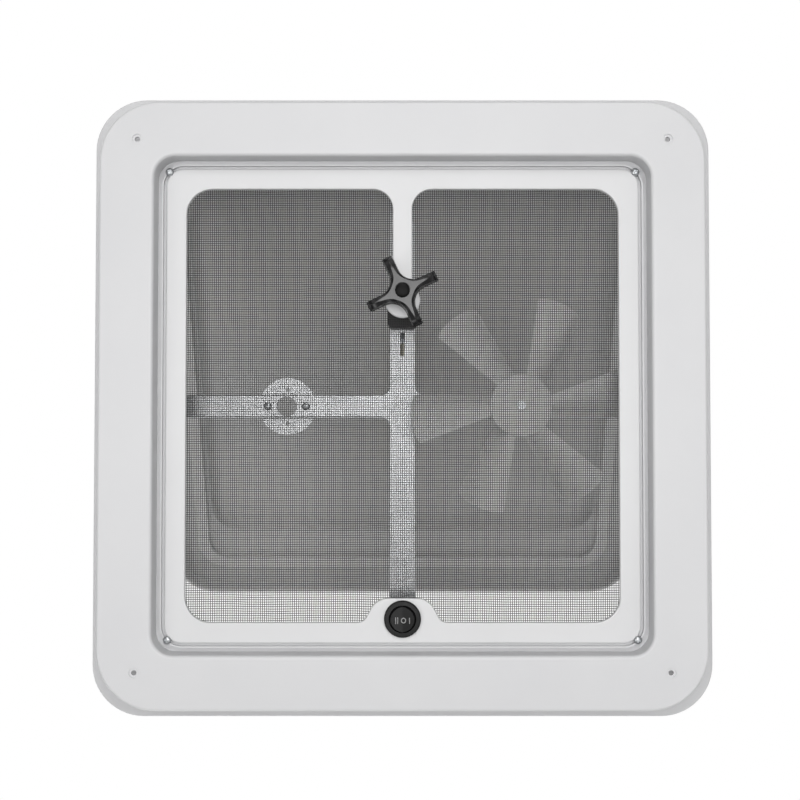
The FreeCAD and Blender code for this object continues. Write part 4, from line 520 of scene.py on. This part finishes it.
# %% A tree for screws and rivets
def fastener_tree(name, is_screw):
    """Screws with a cross recess, or rivets with a second head, on every point of the seed."""
    tree, given = start_tree(name, [
        "Head radius", "Head height", "Shank radius", "Shank length", "Middle", "Length",
    ])
    head = fastener_head(tree, given, is_screw)
    shank = put(tree, "GeometryNodeMeshCylinder", {
        "Vertices": 20, "Radius": given["Shank radius"], "Depth": given["Shank length"],
    }).outputs["Mesh"]
    middle = put(tree, "ShaderNodeCombineXYZ", {"Z": given["Middle"]}).outputs[0]
    shank = put(tree, "GeometryNodeTransform", {"Geometry": shank, "Translation": middle})
    whole = put(tree, "GeometryNodeJoinGeometry")
    tree.links.new(head, whole.inputs["Geometry"])
    tree.links.new(shank.outputs["Geometry"], whole.inputs["Geometry"])
    if not is_screw:
        far = put(tree, "ShaderNodeCombineXYZ", {"Z": given["Length"]}).outputs[0]
        other = put(tree, "GeometryNodeTransform", {
            "Geometry": head, "Translation": far, "Rotation": (math.pi, 0, 0),
        })
        tree.links.new(other.outputs["Geometry"], whole.inputs["Geometry"])
    smooth = put(tree, "GeometryNodeSetShadeSmooth", {
        "Geometry": whole.outputs["Geometry"], "Shade Smooth": True,
    })
    fold = put(tree, "GeometryNodeInputMeshEdgeAngle").outputs["Unsigned Angle"]
    steep = put(tree, "FunctionNodeCompare", {0: fold, 1: SHARP_FOLD}, operation="GREATER_THAN")
    creased = put(tree, "GeometryNodeSetShadeSmooth", {
        "Geometry": smooth.outputs["Geometry"], "Selection": steep.outputs["Result"], "Shade Smooth": False,
    }, domain="EDGE")
    turn = put(tree, "GeometryNodeInputNamedAttribute", {"Name": "turn"}, data_type="FLOAT_VECTOR")
    facing = put(tree, "FunctionNodeEulerToRotation", {"Euler": turn.outputs["Attribute"]})
    row = put(tree, "GeometryNodeInstanceOnPoints", {
        "Points": given["Geometry"], "Instance": creased.outputs["Geometry"],
        "Rotation": facing.outputs["Rotation"],
    })
    end_tree(tree, row.outputs["Instances"], zinc_screw)
    return tree


TREES = {"screws": fastener_tree("cross_screw", True), "rivets": fastener_tree("dome_rivet", False)}
print("nodes in each tree:", {kind: len(tree.nodes) for kind, tree in TREES.items()})

# %% Screws and rivets in place of their plain solids
FASTENERS = {
    "screen_frame_screws": "base", "bracket_screws": "base", "motor_screws": "base",
    "operator_screws": "base", "track_screws": "lid", "seat_rivets": "base", "knuckle_rivets": "lid",
}
HEAD_HEIGHT = {"screws": 1.8 * MM, "rivets": 1.2 * MM}
SHANK_RADIUS = {"screws": 1.5 * MM, "rivets": 1.6 * MM}
FIRST_TURN = 20
NEXT_TURN = 37


def points_mesh(name, spots):
    """A seed of loose points, each with the turn of what will stand on it."""
    mesh = bpy.data.meshes.new(name)
    mesh.from_pydata([place for place, turn in spots], [], [])
    turns = mesh.attributes.new("turn", "FLOAT_VECTOR", "POINT")
    for index, (place, turn) in enumerate(spots):
        turns.data[index].vector = turn
    return mesh


for node, body in FASTENERS.items():
    kind = node.rsplit("_", 1)[1]
    spots = []
    for index, points in enumerate(loose_bodies(NODES[node].data)):
        place, axis, length, radius = measure_fastener(points)
        spin = Quaternion((0, 0, 1), math.radians(FIRST_TURN + NEXT_TURN * index))
        spots.append((place, (axis.to_track_quat("Z", "Y") @ spin).to_euler()))
    head = HEAD_HEIGHT[kind]
    shank = length - (head if kind == "screws" else 2 * head)
    name = node.replace("screws", "cross_heads").replace("rivets", "domes")
    piece = grow(name, TREES[kind], points_mesh(node + "_spots", spots), {
        "Head radius": radius, "Head height": head, "Shank radius": SHANK_RADIUS[kind],
        "Shank length": shank, "Middle": head + shank / 2, "Length": length,
    })
    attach(piece, body)
    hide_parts(node)
    print(name, len(spots), "pieces, in mm: head", round(2 * radius / MM, 2), "length", round(length / MM, 2))

# %% [markdown]
# The crank knob has four arms with hollow flanks. Its flat front narrows towards the tips, where each arm
# ends in a ridge that falls back, and that fall is what makes the tips look dark. It is drawn as rings of
# points round the outline, because each ring can be placed freely: back, skirt, rim and front.

# %% Outline of the knob
knob_low, knob_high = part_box("crank_knob")
KNOB_FRONT = knob_low.z
KNOB_REACH = 25.0 * MM
KNOB_TURN = math.radians(-25)
ARM_HALF = 3.1 * MM
WAIST = 8.8 * MM
TIP_ROUND = 1.4 * MM


def arm_flank(steps=9):
    """One side of an arm, from the hollow beside it to the middle of its tip, as (along, across)."""
    hollow = WAIST * math.sqrt(0.5)
    radius = (hollow - ARM_HALF) / (1 - math.sqrt(0.5))
    flank = []
    for step in range(steps + 1):
        angle = math.radians(45) * (1 - step / steps)
        along = hollow + radius * (math.sqrt(0.5) - math.sin(angle))
        flank.append((along, ARM_HALF + radius * (1 - math.cos(angle))))
    start, end = flank[-1][0], KNOB_REACH - TIP_ROUND
    flank += [(start + (end - start) * share, ARM_HALF) for share in (0.25, 0.5, 0.75, 1.0)]
    for degrees in (30, 60, 90):
        turn = math.radians(degrees)
        along = KNOB_REACH - TIP_ROUND * (1 - math.sin(turn))
        flank.append((along, ARM_HALF - TIP_ROUND * (1 - math.cos(turn))))
    return flank


flank = arm_flank()
one_arm = [(along, across, 1) for along, across in flank]
one_arm += [(along, across, -1) for along, across in reversed(flank)][:-1]
print("knob outline:", len(one_arm), "points for each arm")

# %% Rings of the knob
RIDGE_START = 19.5 * MM
RIDGE_SHARE = 0.8
RIDGE_FALL = 3.0 * MM
RIDGE_HALF = 0.25 * MM
BEVEL_MIDDLE = 1.5 * MM
BEVEL_GROWTH = 1.4 * MM
RIM_DEPTH = 2.0 * MM
RIM_FALL = 1.6
STAR_DEPTH = 10 * MM
BACK_ROUND = 0.6 * MM
FLARE = 0.8 * MM


def front_point(along, across):
    """Where a rim point lands on the front: on the flat star, or on the ridge that falls back."""
    bevel = BEVEL_MIDDLE + BEVEL_GROWTH * min(1.0, along / RIDGE_START) ** 3
    half = max(RIDGE_HALF, across - bevel)
    if along <= RIDGE_START:
        return along, half, 0.0
    past = along - RIDGE_START
    fall = past / (KNOB_REACH - RIDGE_START)
    return RIDGE_START + RIDGE_SHARE * past, half, RIDGE_FALL * fall ** 1.5


def ring_points(along, across):
    """The four points that belong to one point of the outline, as (along, across, depth)."""
    near, half, fall = front_point(along, across)
    drawn = BACK_ROUND if across > BACK_ROUND else 0.0
    flared = FLARE if across > 0 else 0.0
    return {
        "back": (along - BACK_ROUND, across - drawn, STAR_DEPTH),
        "skirt": (along + FLARE, across + flared, STAR_DEPTH - BACK_ROUND),
        "rim": (along, across, RIM_DEPTH + RIM_FALL * fall),
        "front": (near, half, fall),
    }


rings = {"back": [], "skirt": [], "rim": [], "front": []}
for arm in range(4):
    turn = KNOB_TURN + math.radians(90) * arm
    ahead = Vector((math.cos(turn), math.sin(turn), 0))
    aside = Vector((math.sin(turn), -math.cos(turn), 0))
    for along, across, side in one_arm:
        for ring, (out, over, depth) in ring_points(along, across).items():
            middle = Vector((0, SHAFT_Y, KNOB_FRONT + depth))
            rings[ring].append(middle + ahead * out + aside * side * over)
print("knob rings:", {ring: len(points) for ring, points in rings.items()})

# %% Knob star
star = bmesh.new()
rows = [[star.verts.new(point) for point in points] for points in rings.values()]
around = len(rows[0])
for low, high in zip(rows, rows[1:]):
    for a in range(around):
        b = (a + 1) % around
        star.faces.new((low[a], low[b], high[b], high[a]))
star.faces.new(rows[0])
front = rows[-1]
per_arm = len(one_arm)
for arm in range(4):
    edge = [front[(arm * per_arm + step) % around] for step in range(per_arm + 1)]
    for step in range(per_arm // 2):
        four = [edge[step], edge[step + 1], edge[per_arm - step - 1], edge[per_arm - step]]
        star.faces.new(list(dict.fromkeys(four)))
star.faces.new([front[arm * per_arm] for arm in range(4)])
bmesh.ops.recalc_face_normals(star, faces=star.faces)
bmesh.ops.triangulate(star, faces=[face for face in star.faces if len(face.verts) > 4])
print("knob star:", len(star.faces), "faces")

# %% [markdown]
# The cap in the knob's middle covers its screw: a low black dome in a shallow recess. Recess, stem and cap
# are turned shapes, so a helper spins a half section round an axis.


# %% Helpers for turned and finished shapes
def spin_section(section, centre, steps=48):
    """Turn a half section of (radius, level) points round an upright axis into a closed shape."""
    shape = bmesh.new()
    turns = [2 * math.pi * step / steps for step in range(steps)]
    rings = []
    for radius, level in section:
        if radius == 0:
            rings.append([shape.verts.new((*centre, level))] * steps)
        else:
            spots = [(centre[0] + radius * math.cos(t), centre[1] + radius * math.sin(t)) for t in turns]
            rings.append([shape.verts.new((x, y, level)) for x, y in spots])
    for low, high in zip(rings, rings[1:]):
        for a in range(steps):
            b = (a + 1) % steps
            corners = list(dict.fromkeys([low[a], low[b], high[b], high[a]]))
            if len(corners) > 2:
                shape.faces.new(corners)
    bmesh.ops.remove_doubles(shape, verts=shape.verts, dist=1e-7)
    bmesh.ops.recalc_face_normals(shape, faces=shape.faces)
    return shape


def finished(name, shape, finish, crease=35):
    """Make an object of a shape, with a finish and soft shading up to a crease angle."""
    mesh = bpy.data.meshes.new(name)
    shape.to_mesh(mesh)
    shape.free()
    mesh.materials.append(finish)
    mesh.shade_smooth()
    mesh.set_sharp_from_angle(angle=math.radians(crease))
    return link(bpy.data.objects.new(name, mesh))


def applied(piece):
    """Replace a piece's mesh by what its modifiers make of it."""
    graph = bpy.context.evaluated_depsgraph_get()
    mesh = bpy.data.meshes.new_from_object(piece.evaluated_get(graph))
    piece.modifiers.clear()
    piece.data = mesh
    mesh.name = piece.name


# %% Knob with its recess and stem
KNOB_AXIS = (0.0, SHAFT_Y)
STEM_RADIUS = 6.9 * MM
STEM_BORE = 4.1 * MM
RECESS_RADIUS = 5.3 * MM
KNOB_EDGE = 0.35 * MM
stem_start = KNOB_FRONT + 5 * MM
bore_start = KNOB_FRONT + 5.6 * MM
recess_start = KNOB_FRONT - 2 * MM
recess_end = KNOB_FRONT + 1.8 * MM
stem = finished("knob_stem", spin_section([
    (0, stem_start), (STEM_RADIUS, stem_start), (STEM_RADIUS, knob_high.z),
    (STEM_BORE, knob_high.z), (STEM_BORE, bore_start), (0, bore_start),
], KNOB_AXIS), knob_black)
recess = finished("knob_recess", spin_section([
    (0, recess_start), (RECESS_RADIUS, recess_start), (RECESS_RADIUS, recess_end), (0, recess_end),
], KNOB_AXIS), knob_black)
knob = finished("knob_star", star, knob_black, crease=22)
for tool, way in ((recess, "DIFFERENCE"), (stem, "UNION")):
    cut = knob.modifiers.new(way, "BOOLEAN")
    cut.object, cut.operation, cut.solver = tool, way, "EXACT"
    applied(knob)
    bpy.data.objects.remove(tool)
soften = knob.modifiers.new("soft edges", "BEVEL")
soften.width, soften.segments = KNOB_EDGE, 2
soften.limit_method, soften.angle_limit = "ANGLE", math.radians(24)
soften.harden_normals = True
applied(knob)
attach(knob, "crank")
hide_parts("crank_knob")
print("knob:", len(knob.data.polygons), "faces")

# %% Cap of the knob
cap_low, cap_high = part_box("knob_screw")
CAP_RADIUS = 4.95 * MM
CAP_RISE = 1.0 * MM
CAP_PEG = 1.5 * MM
cap_foot = KNOB_FRONT + 1.7 * MM
dome = [(0, cap_low.z)]
for step in range(1, 9):
    turn = math.radians(90) * step / 8
    dome.append((CAP_RADIUS * math.sin(turn), cap_low.z + CAP_RISE * (1 - math.cos(turn))))
dome += [(CAP_RADIUS, cap_foot), (CAP_PEG, cap_foot), (CAP_PEG, cap_high.z), (0, cap_high.z)]
cap = finished("knob_cap", spin_section(dome, KNOB_AXIS), cap_black)
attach(cap, "crank")
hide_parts("knob_screw")
print("cap:", len(cap.data.polygons), "faces")

# %% [markdown]
# The fan wheel is moulded in one piece: a round hub with six blades. Each blade has a straight leading edge
# and a trailing edge that flares to the tip. It is cambered: nearly flat along the trailing edge and steep
# along the leading one, so it shades from light to dark across its width. One blade is bent from a sheet,
# and a tree sets six of them round the turned hub.

# %% Shape of a blade
fan_low, fan_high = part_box("fan_wheel")
BLADE_ROOT = 20 * MM
BLADE_REACH = 79.3 * MM
BLADE_LEVEL = (fan_low.z + fan_high.z) / 2
LEAD = 8.2 * MM
TRAIL_ROOT = -7.0 * MM
TRAIL_TIP = -27.4 * MM
LEAD_CORNER = 3.5 * MM
TRAIL_CORNER = 2.0 * MM
CAMBER = 11.5 * MM
TRAIL_DROP = 5.0 * MM


def blade_point(u, v):
    """A point of the bent sheet: u runs from root to tip, v from the trailing to the leading edge."""
    trail = TRAIL_ROOT + (TRAIL_TIP - TRAIL_ROOT) * u
    tip_y = TRAIL_TIP + (LEAD - TRAIL_TIP) * v
    tip_x = math.sqrt(BLADE_REACH ** 2 - tip_y ** 2)
    tip_x -= LEAD_CORNER * v ** 9 + TRAIL_CORNER * (1 - v) ** 9
    x = BLADE_ROOT + u * (tip_x - BLADE_ROOT)
    return x, trail + (LEAD - trail) * v, BLADE_LEVEL + CAMBER * v ** 3 - TRAIL_DROP


print("leading corner of the tip, in mm:", [round(part / MM, 1) for part in blade_point(1, 1)])

# %% One blade of the fan
BLADE_THICK = 1.8 * MM
BLADE_EDGE = 0.6 * MM


def border(grid):
    """The points round the edge of a grid, in order."""
    far_side = [row[-1] for row in grid[1:]]
    near_side = [row[0] for row in grid[-2:0:-1]]
    return grid[0] + far_side + grid[-1][-2::-1] + near_side


def bent_sheet(steps_along=14, steps_across=12):
    """The blade as a closed sheet: two equal grids with a border between them."""
    shape = bmesh.new()
    sides = []
    for offset in (-BLADE_THICK / 2, BLADE_THICK / 2):
        grid = []
        for i in range(steps_along + 1):
            row = [blade_point(i / steps_along, j / steps_across) for j in range(steps_across + 1)]
            grid.append([shape.verts.new((x, y, z + offset)) for x, y, z in row])
        for low, high in zip(grid, grid[1:]):
            for j in range(steps_across):
                shape.faces.new((low[j], low[j + 1], high[j + 1], high[j]))
        sides.append(border(grid))
    lower, upper = sides
    for a in range(len(lower)):
        b = (a + 1) % len(lower)
        shape.faces.new((lower[a], lower[b], upper[b], upper[a]))
    bmesh.ops.recalc_face_normals(shape, faces=shape.faces)
    return shape


blade = finished("fan_blade", bent_sheet(), fan_white)
round_edge = blade.modifiers.new("round edge", "BEVEL")
round_edge.width, round_edge.segments, round_edge.angle_limit = BLADE_EDGE, 2, math.radians(50)
applied(blade)
blade.data.shade_smooth()
print("blade:", len(blade.data.polygons), "faces")

# %% Hub of the fan
axle_low, axle_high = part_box("motor_shaft")
FAN_AXIS = ((axle_low.x + axle_high.x) / 2, (axle_low.y + axle_high.y) / 2)
HUB_RADIUS = 22.6 * MM
HUB_WALL = 2.4 * MM
HUB_BORE = 1.7 * MM
HUB_ROUND = 1.0 * MM
hub_inner = HUB_RADIUS - HUB_WALL
hub_floor = fan_low.z + HUB_WALL
hub_section = [(HUB_BORE, fan_low.z), (HUB_RADIUS - HUB_ROUND, fan_low.z)]
for step in range(1, 7):
    turn = math.radians(15 * step)
    out = HUB_RADIUS - HUB_ROUND * (1 - math.sin(turn))
    hub_section.append((out, fan_low.z + HUB_ROUND * (1 - math.cos(turn))))
hub_section += [
    (HUB_RADIUS, fan_high.z), (hub_inner, fan_high.z), (hub_inner, hub_floor),
    (HUB_BORE, hub_floor), (HUB_BORE, fan_low.z),
]
hub = finished("fan_hub", spin_section(hub_section, FAN_AXIS, steps=72), fan_white)
print("hub:", len(hub.data.polygons), "faces")


# %% Six blades round the hub
def rotor_tree(blade):
    """Join the hub, which is the seed, with a ring of blades."""
    tree, given = start_tree("fan_rotor", ["Blades"])
    points = put(tree, "GeometryNodePoints", {"Count": given["Blades"], "Position": (*FAN_AXIS, 0.0)})
    index = put(tree, "GeometryNodeInputIndex").outputs["Index"]
    share = put(tree, "ShaderNodeMath", {0: index, 1: given["Blades"]}, operation="DIVIDE").outputs[0]
    turn = put(tree, "ShaderNodeMath", {0: share, 1: 2 * math.pi}, operation="MULTIPLY").outputs[0]
    turn = put(tree, "ShaderNodeCombineXYZ", {"Z": turn}).outputs[0]
    facing = put(tree, "FunctionNodeEulerToRotation", {"Euler": turn}).outputs["Rotation"]
    shape = put(tree, "GeometryNodeObjectInfo", {"Object": blade}).outputs["Geometry"]
    ring = put(tree, "GeometryNodeInstanceOnPoints", {
        "Points": points.outputs[0], "Instance": shape, "Rotation": facing,
    })
    whole = put(tree, "GeometryNodeJoinGeometry")
    tree.links.new(given["Geometry"], whole.inputs["Geometry"])
    tree.links.new(ring.outputs["Instances"], whole.inputs["Geometry"])
    end_tree(tree, whole.outputs["Geometry"], fan_white)
    return tree


rotor = grow("fan_rotor", rotor_tree(blade), hub.data, {"Blades": 6})
bpy.data.objects.remove(hub)
bpy.data.objects.remove(blade)
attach(rotor, "fan")
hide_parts("fan_wheel")
print("fan rotor:", len(rotor.data.polygons), "faces")

# %% [markdown]
# The switch's rocker carries three plain marks for its three positions: two bars, a ring and one bar.
# They are pad-printed on the real rocker. Here each is a thin slip of ink that follows the rocker's
# hollow front, 0.06 mm proud of it. The front rises by 10 degrees to both sides of a valley, whose level is
# read from the solid.

# %% Ink on the rocker
ROCKER_SLOPE = math.tan(math.radians(10))
rocker_points = [point.co for point in NODES["switch_rocker"].data.vertices]
ROCKER_VALLEY = min(point.z for point in rocker_points if abs(point.x) < 1e-6)
INK_PROUD = 0.06 * MM
INK_SUNK = 0.03 * MM


def ink_edge(shape, outline, sunk):
    """A closed row of points that follows the rocker's front, so far inside it."""
    valley = ROCKER_VALLEY + sunk
    return [shape.verts.new((x, SWITCH_Y + y, valley - abs(x) * ROCKER_SLOPE)) for x, y in outline]


def ink_slip(shape, outline, inner=None):
    """Lay a closed slip of ink on the rocker: a filled outline, or the band between it and an inner one."""
    outer, under = ink_edge(shape, outline, -INK_PROUD), ink_edge(shape, outline, INK_SUNK)
    count = len(outline)
    for a in range(count):
        b = (a + 1) % count
        shape.faces.new((outer[a], outer[b], under[b], under[a]))
    if inner is None:
        shape.faces.new(outer)
        shape.faces.new(list(reversed(under)))
        return
    rim, foot = ink_edge(shape, inner, -INK_PROUD), ink_edge(shape, inner, INK_SUNK)
    for a in range(count):
        b = (a + 1) % count
        shape.faces.new((outer[b], outer[a], rim[a], rim[b]))
        shape.faces.new((under[a], under[b], foot[b], foot[a]))
        shape.faces.new((rim[b], rim[a], foot[a], foot[b]))


print("rocker valley at", round(ROCKER_VALLEY / MM, 3), "mm")

# %% Marks on the rocker
MARKS_Y = -0.6 * MM
BARS = [(3.3 * MM, 0.27 * MM, 2.3 * MM), (4.7 * MM, 0.27 * MM, 2.3 * MM), (-4.8 * MM, 0.30 * MM, 2.0 * MM)]
RING_X = -0.7 * MM
RING_OUTER = (1.8 * MM, 1.95 * MM)
RING_INNER = (1.15 * MM, 1.3 * MM)


def ring_outline(half_width, half_height, count=36):
    """Points round an upright oval."""
    turns = [2 * math.pi * step / count for step in range(count)]
    return [(RING_X + half_width * math.cos(t), MARKS_Y + half_height * math.sin(t)) for t in turns]


marks_shape = bmesh.new()
for x, half_width, half_height in BARS:
    left, right = x - half_width, x + half_width
    bottom, top = MARKS_Y - half_height, MARKS_Y + half_height
    ink_slip(marks_shape, [(left, bottom), (right, bottom), (right, top), (left, top)])
ink_slip(marks_shape, ring_outline(*RING_OUTER), ring_outline(*RING_INNER))
bmesh.ops.recalc_face_normals(marks_shape, faces=marks_shape.faces)
marks_mesh = bpy.data.meshes.new("rocker_marks")
marks_shape.to_mesh(marks_mesh)
marks_shape.free()
marks_mesh.materials.append(ink)
marks = link(bpy.data.objects.new("rocker_marks", marks_mesh))
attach(marks, "rocker")
print("rocker marks:", len(marks_mesh.polygons), "faces")

# %% [markdown]
# The stage: a pale floor two metres under the ceiling, as in a camper, and a white surround that lights
# only weakly. The lamps are wide discs, so their light is soft: two behind the camera, one at each side, the
# strongest below the hinge side. One above the roof plays the sky, and one at the lid's open side sends
# light in under the lid, because the screen holds back half of what comes from below.

# %% Floor and surround
FLOOR_LEVEL = -2.0
FLOOR_REACH = 30.0
FLOOR_GRAIN_MM = 500
AMBIENT = 0.30
sides = [(-1, -1), (1, -1), (1, 1), (-1, 1)]
corners = [(x * FLOOR_REACH, y * FLOOR_REACH, FLOOR_LEVEL) for x, y in sides]
floor_mesh = bpy.data.meshes.new("floor")
floor_mesh.from_pydata(corners, [], [(0, 1, 2, 3)])
floor = link(bpy.data.objects.new("floor", floor_mesh))
floor_finish, floor_tree, floor_shader, floor_place = start_finish("pale_floor")
floor_grain = put(floor_tree, "ShaderNodeTexNoise", {"Vector": floor_place, "Scale": per_mm(FLOOR_GRAIN_MM)})
floor_tone = put(floor_tree, "ShaderNodeMix", {
    "Factor": floor_grain.outputs["Fac"], "A": linear("#EFEFEE"), "B": linear("#EAEAE9"),
}, data_type="RGBA")
feed(floor_tree, floor_shader, {"Base Color": floor_tone.outputs["Result"], "Roughness": 0.9})
floor_mesh.materials.append(floor_finish)

world = bpy.data.worlds.new("white_surround")
bpy.context.scene.world = world
world.use_nodes = True
sky = world.node_tree
rays = put(sky, "ShaderNodeLightPath").outputs
seen = rays["Is Camera Ray"]
for ray in ("Is Glossy Ray", "Is Transmission Ray"):
    seen = put(sky, "ShaderNodeMath", {0: seen, 1: rays[ray]}, operation="MAXIMUM").outputs[0]
level = put(sky, "ShaderNodeMapRange", {"Value": seen, "To Min": AMBIENT, "To Max": 1.0}).outputs["Result"]
feed(sky, sky.nodes["Background"], {"Color": (1, 1, 1, 1), "Strength": level})
print("floor at", FLOOR_LEVEL, "m, surround lights with", AMBIENT)

# %% Lamps
LAMPS = [
    ("key", (-0.15, 0.07, -1.45), 0.65, 4.3),
    ("front", (0.21, 0.08, -1.45), 0.75, 4.1),
    ("top", (-0.10, 1.40, -1.90), 1.1, 21.0),
    ("left", (1.50, -0.40, -1.80), 1.2, 11.0),
    ("right", (-0.95, -0.20, -1.35), 1.4, 4.2),
    ("sky", (0.30, -0.90, 1.70), 2.0, 10.0),
    ("side", (0.30, -1.90, 0.20), 1.4, 8.5),
]
for name, place, width, power in LAMPS:
    lamp = bpy.data.lights.new(name, "AREA")
    lamp.shape = "DISK"
    lamp.size = width
    lamp.energy = power
    holder = link(bpy.data.objects.new(name, lamp))
    holder.location = place
    holder.rotation_euler = (-Vector(place)).to_track_quat("-Z", "Y").to_euler()
    holder.visible_camera = False
bpy.context.scene.view_settings.view_transform = "Standard"
print("lamps:", len(LAMPS), "with", round(sum(entry[-1] for entry in LAMPS), 1), "W")

# %% [markdown]
# The camera stands 0.8 m below the trim ring and looks up with the hinge side at the top. It stands a
# little towards the free edge of the lid and leans back, so the lower edge comes a bit nearer. Its focal
# length and sideways shift are written in pixels of the square picture.

# %% Camera
CAMERA_PLACE = Vector((0.0, -0.021, -0.843))
LEAN = math.radians(1.71)
SENSOR_MM = 36.0
PICTURE_PIXELS = 800
FOCAL_PIXELS = 1168
SHIFT_PIXELS = -2.5
camera = bpy.data.cameras.new("camera")
camera.sensor_width = SENSOR_MM
camera.lens = SENSOR_MM * FOCAL_PIXELS / PICTURE_PIXELS
camera.shift_x = SHIFT_PIXELS / PICTURE_PIXELS
camera.clip_start = 0.01
right = Vector((-1, 0, 0))
ahead = Vector((0, math.sin(LEAN), math.cos(LEAN)))
up = Vector((0, math.cos(LEAN), -math.sin(LEAN)))
turn = Matrix((right, up, -ahead)).transposed()
viewer = link(bpy.data.objects.new("camera", camera))
viewer.matrix_world = Matrix.Translation(CAMERA_PLACE) @ turn.to_4x4()
bpy.context.scene.camera = viewer
print("lens:", round(camera.lens, 2), "mm")
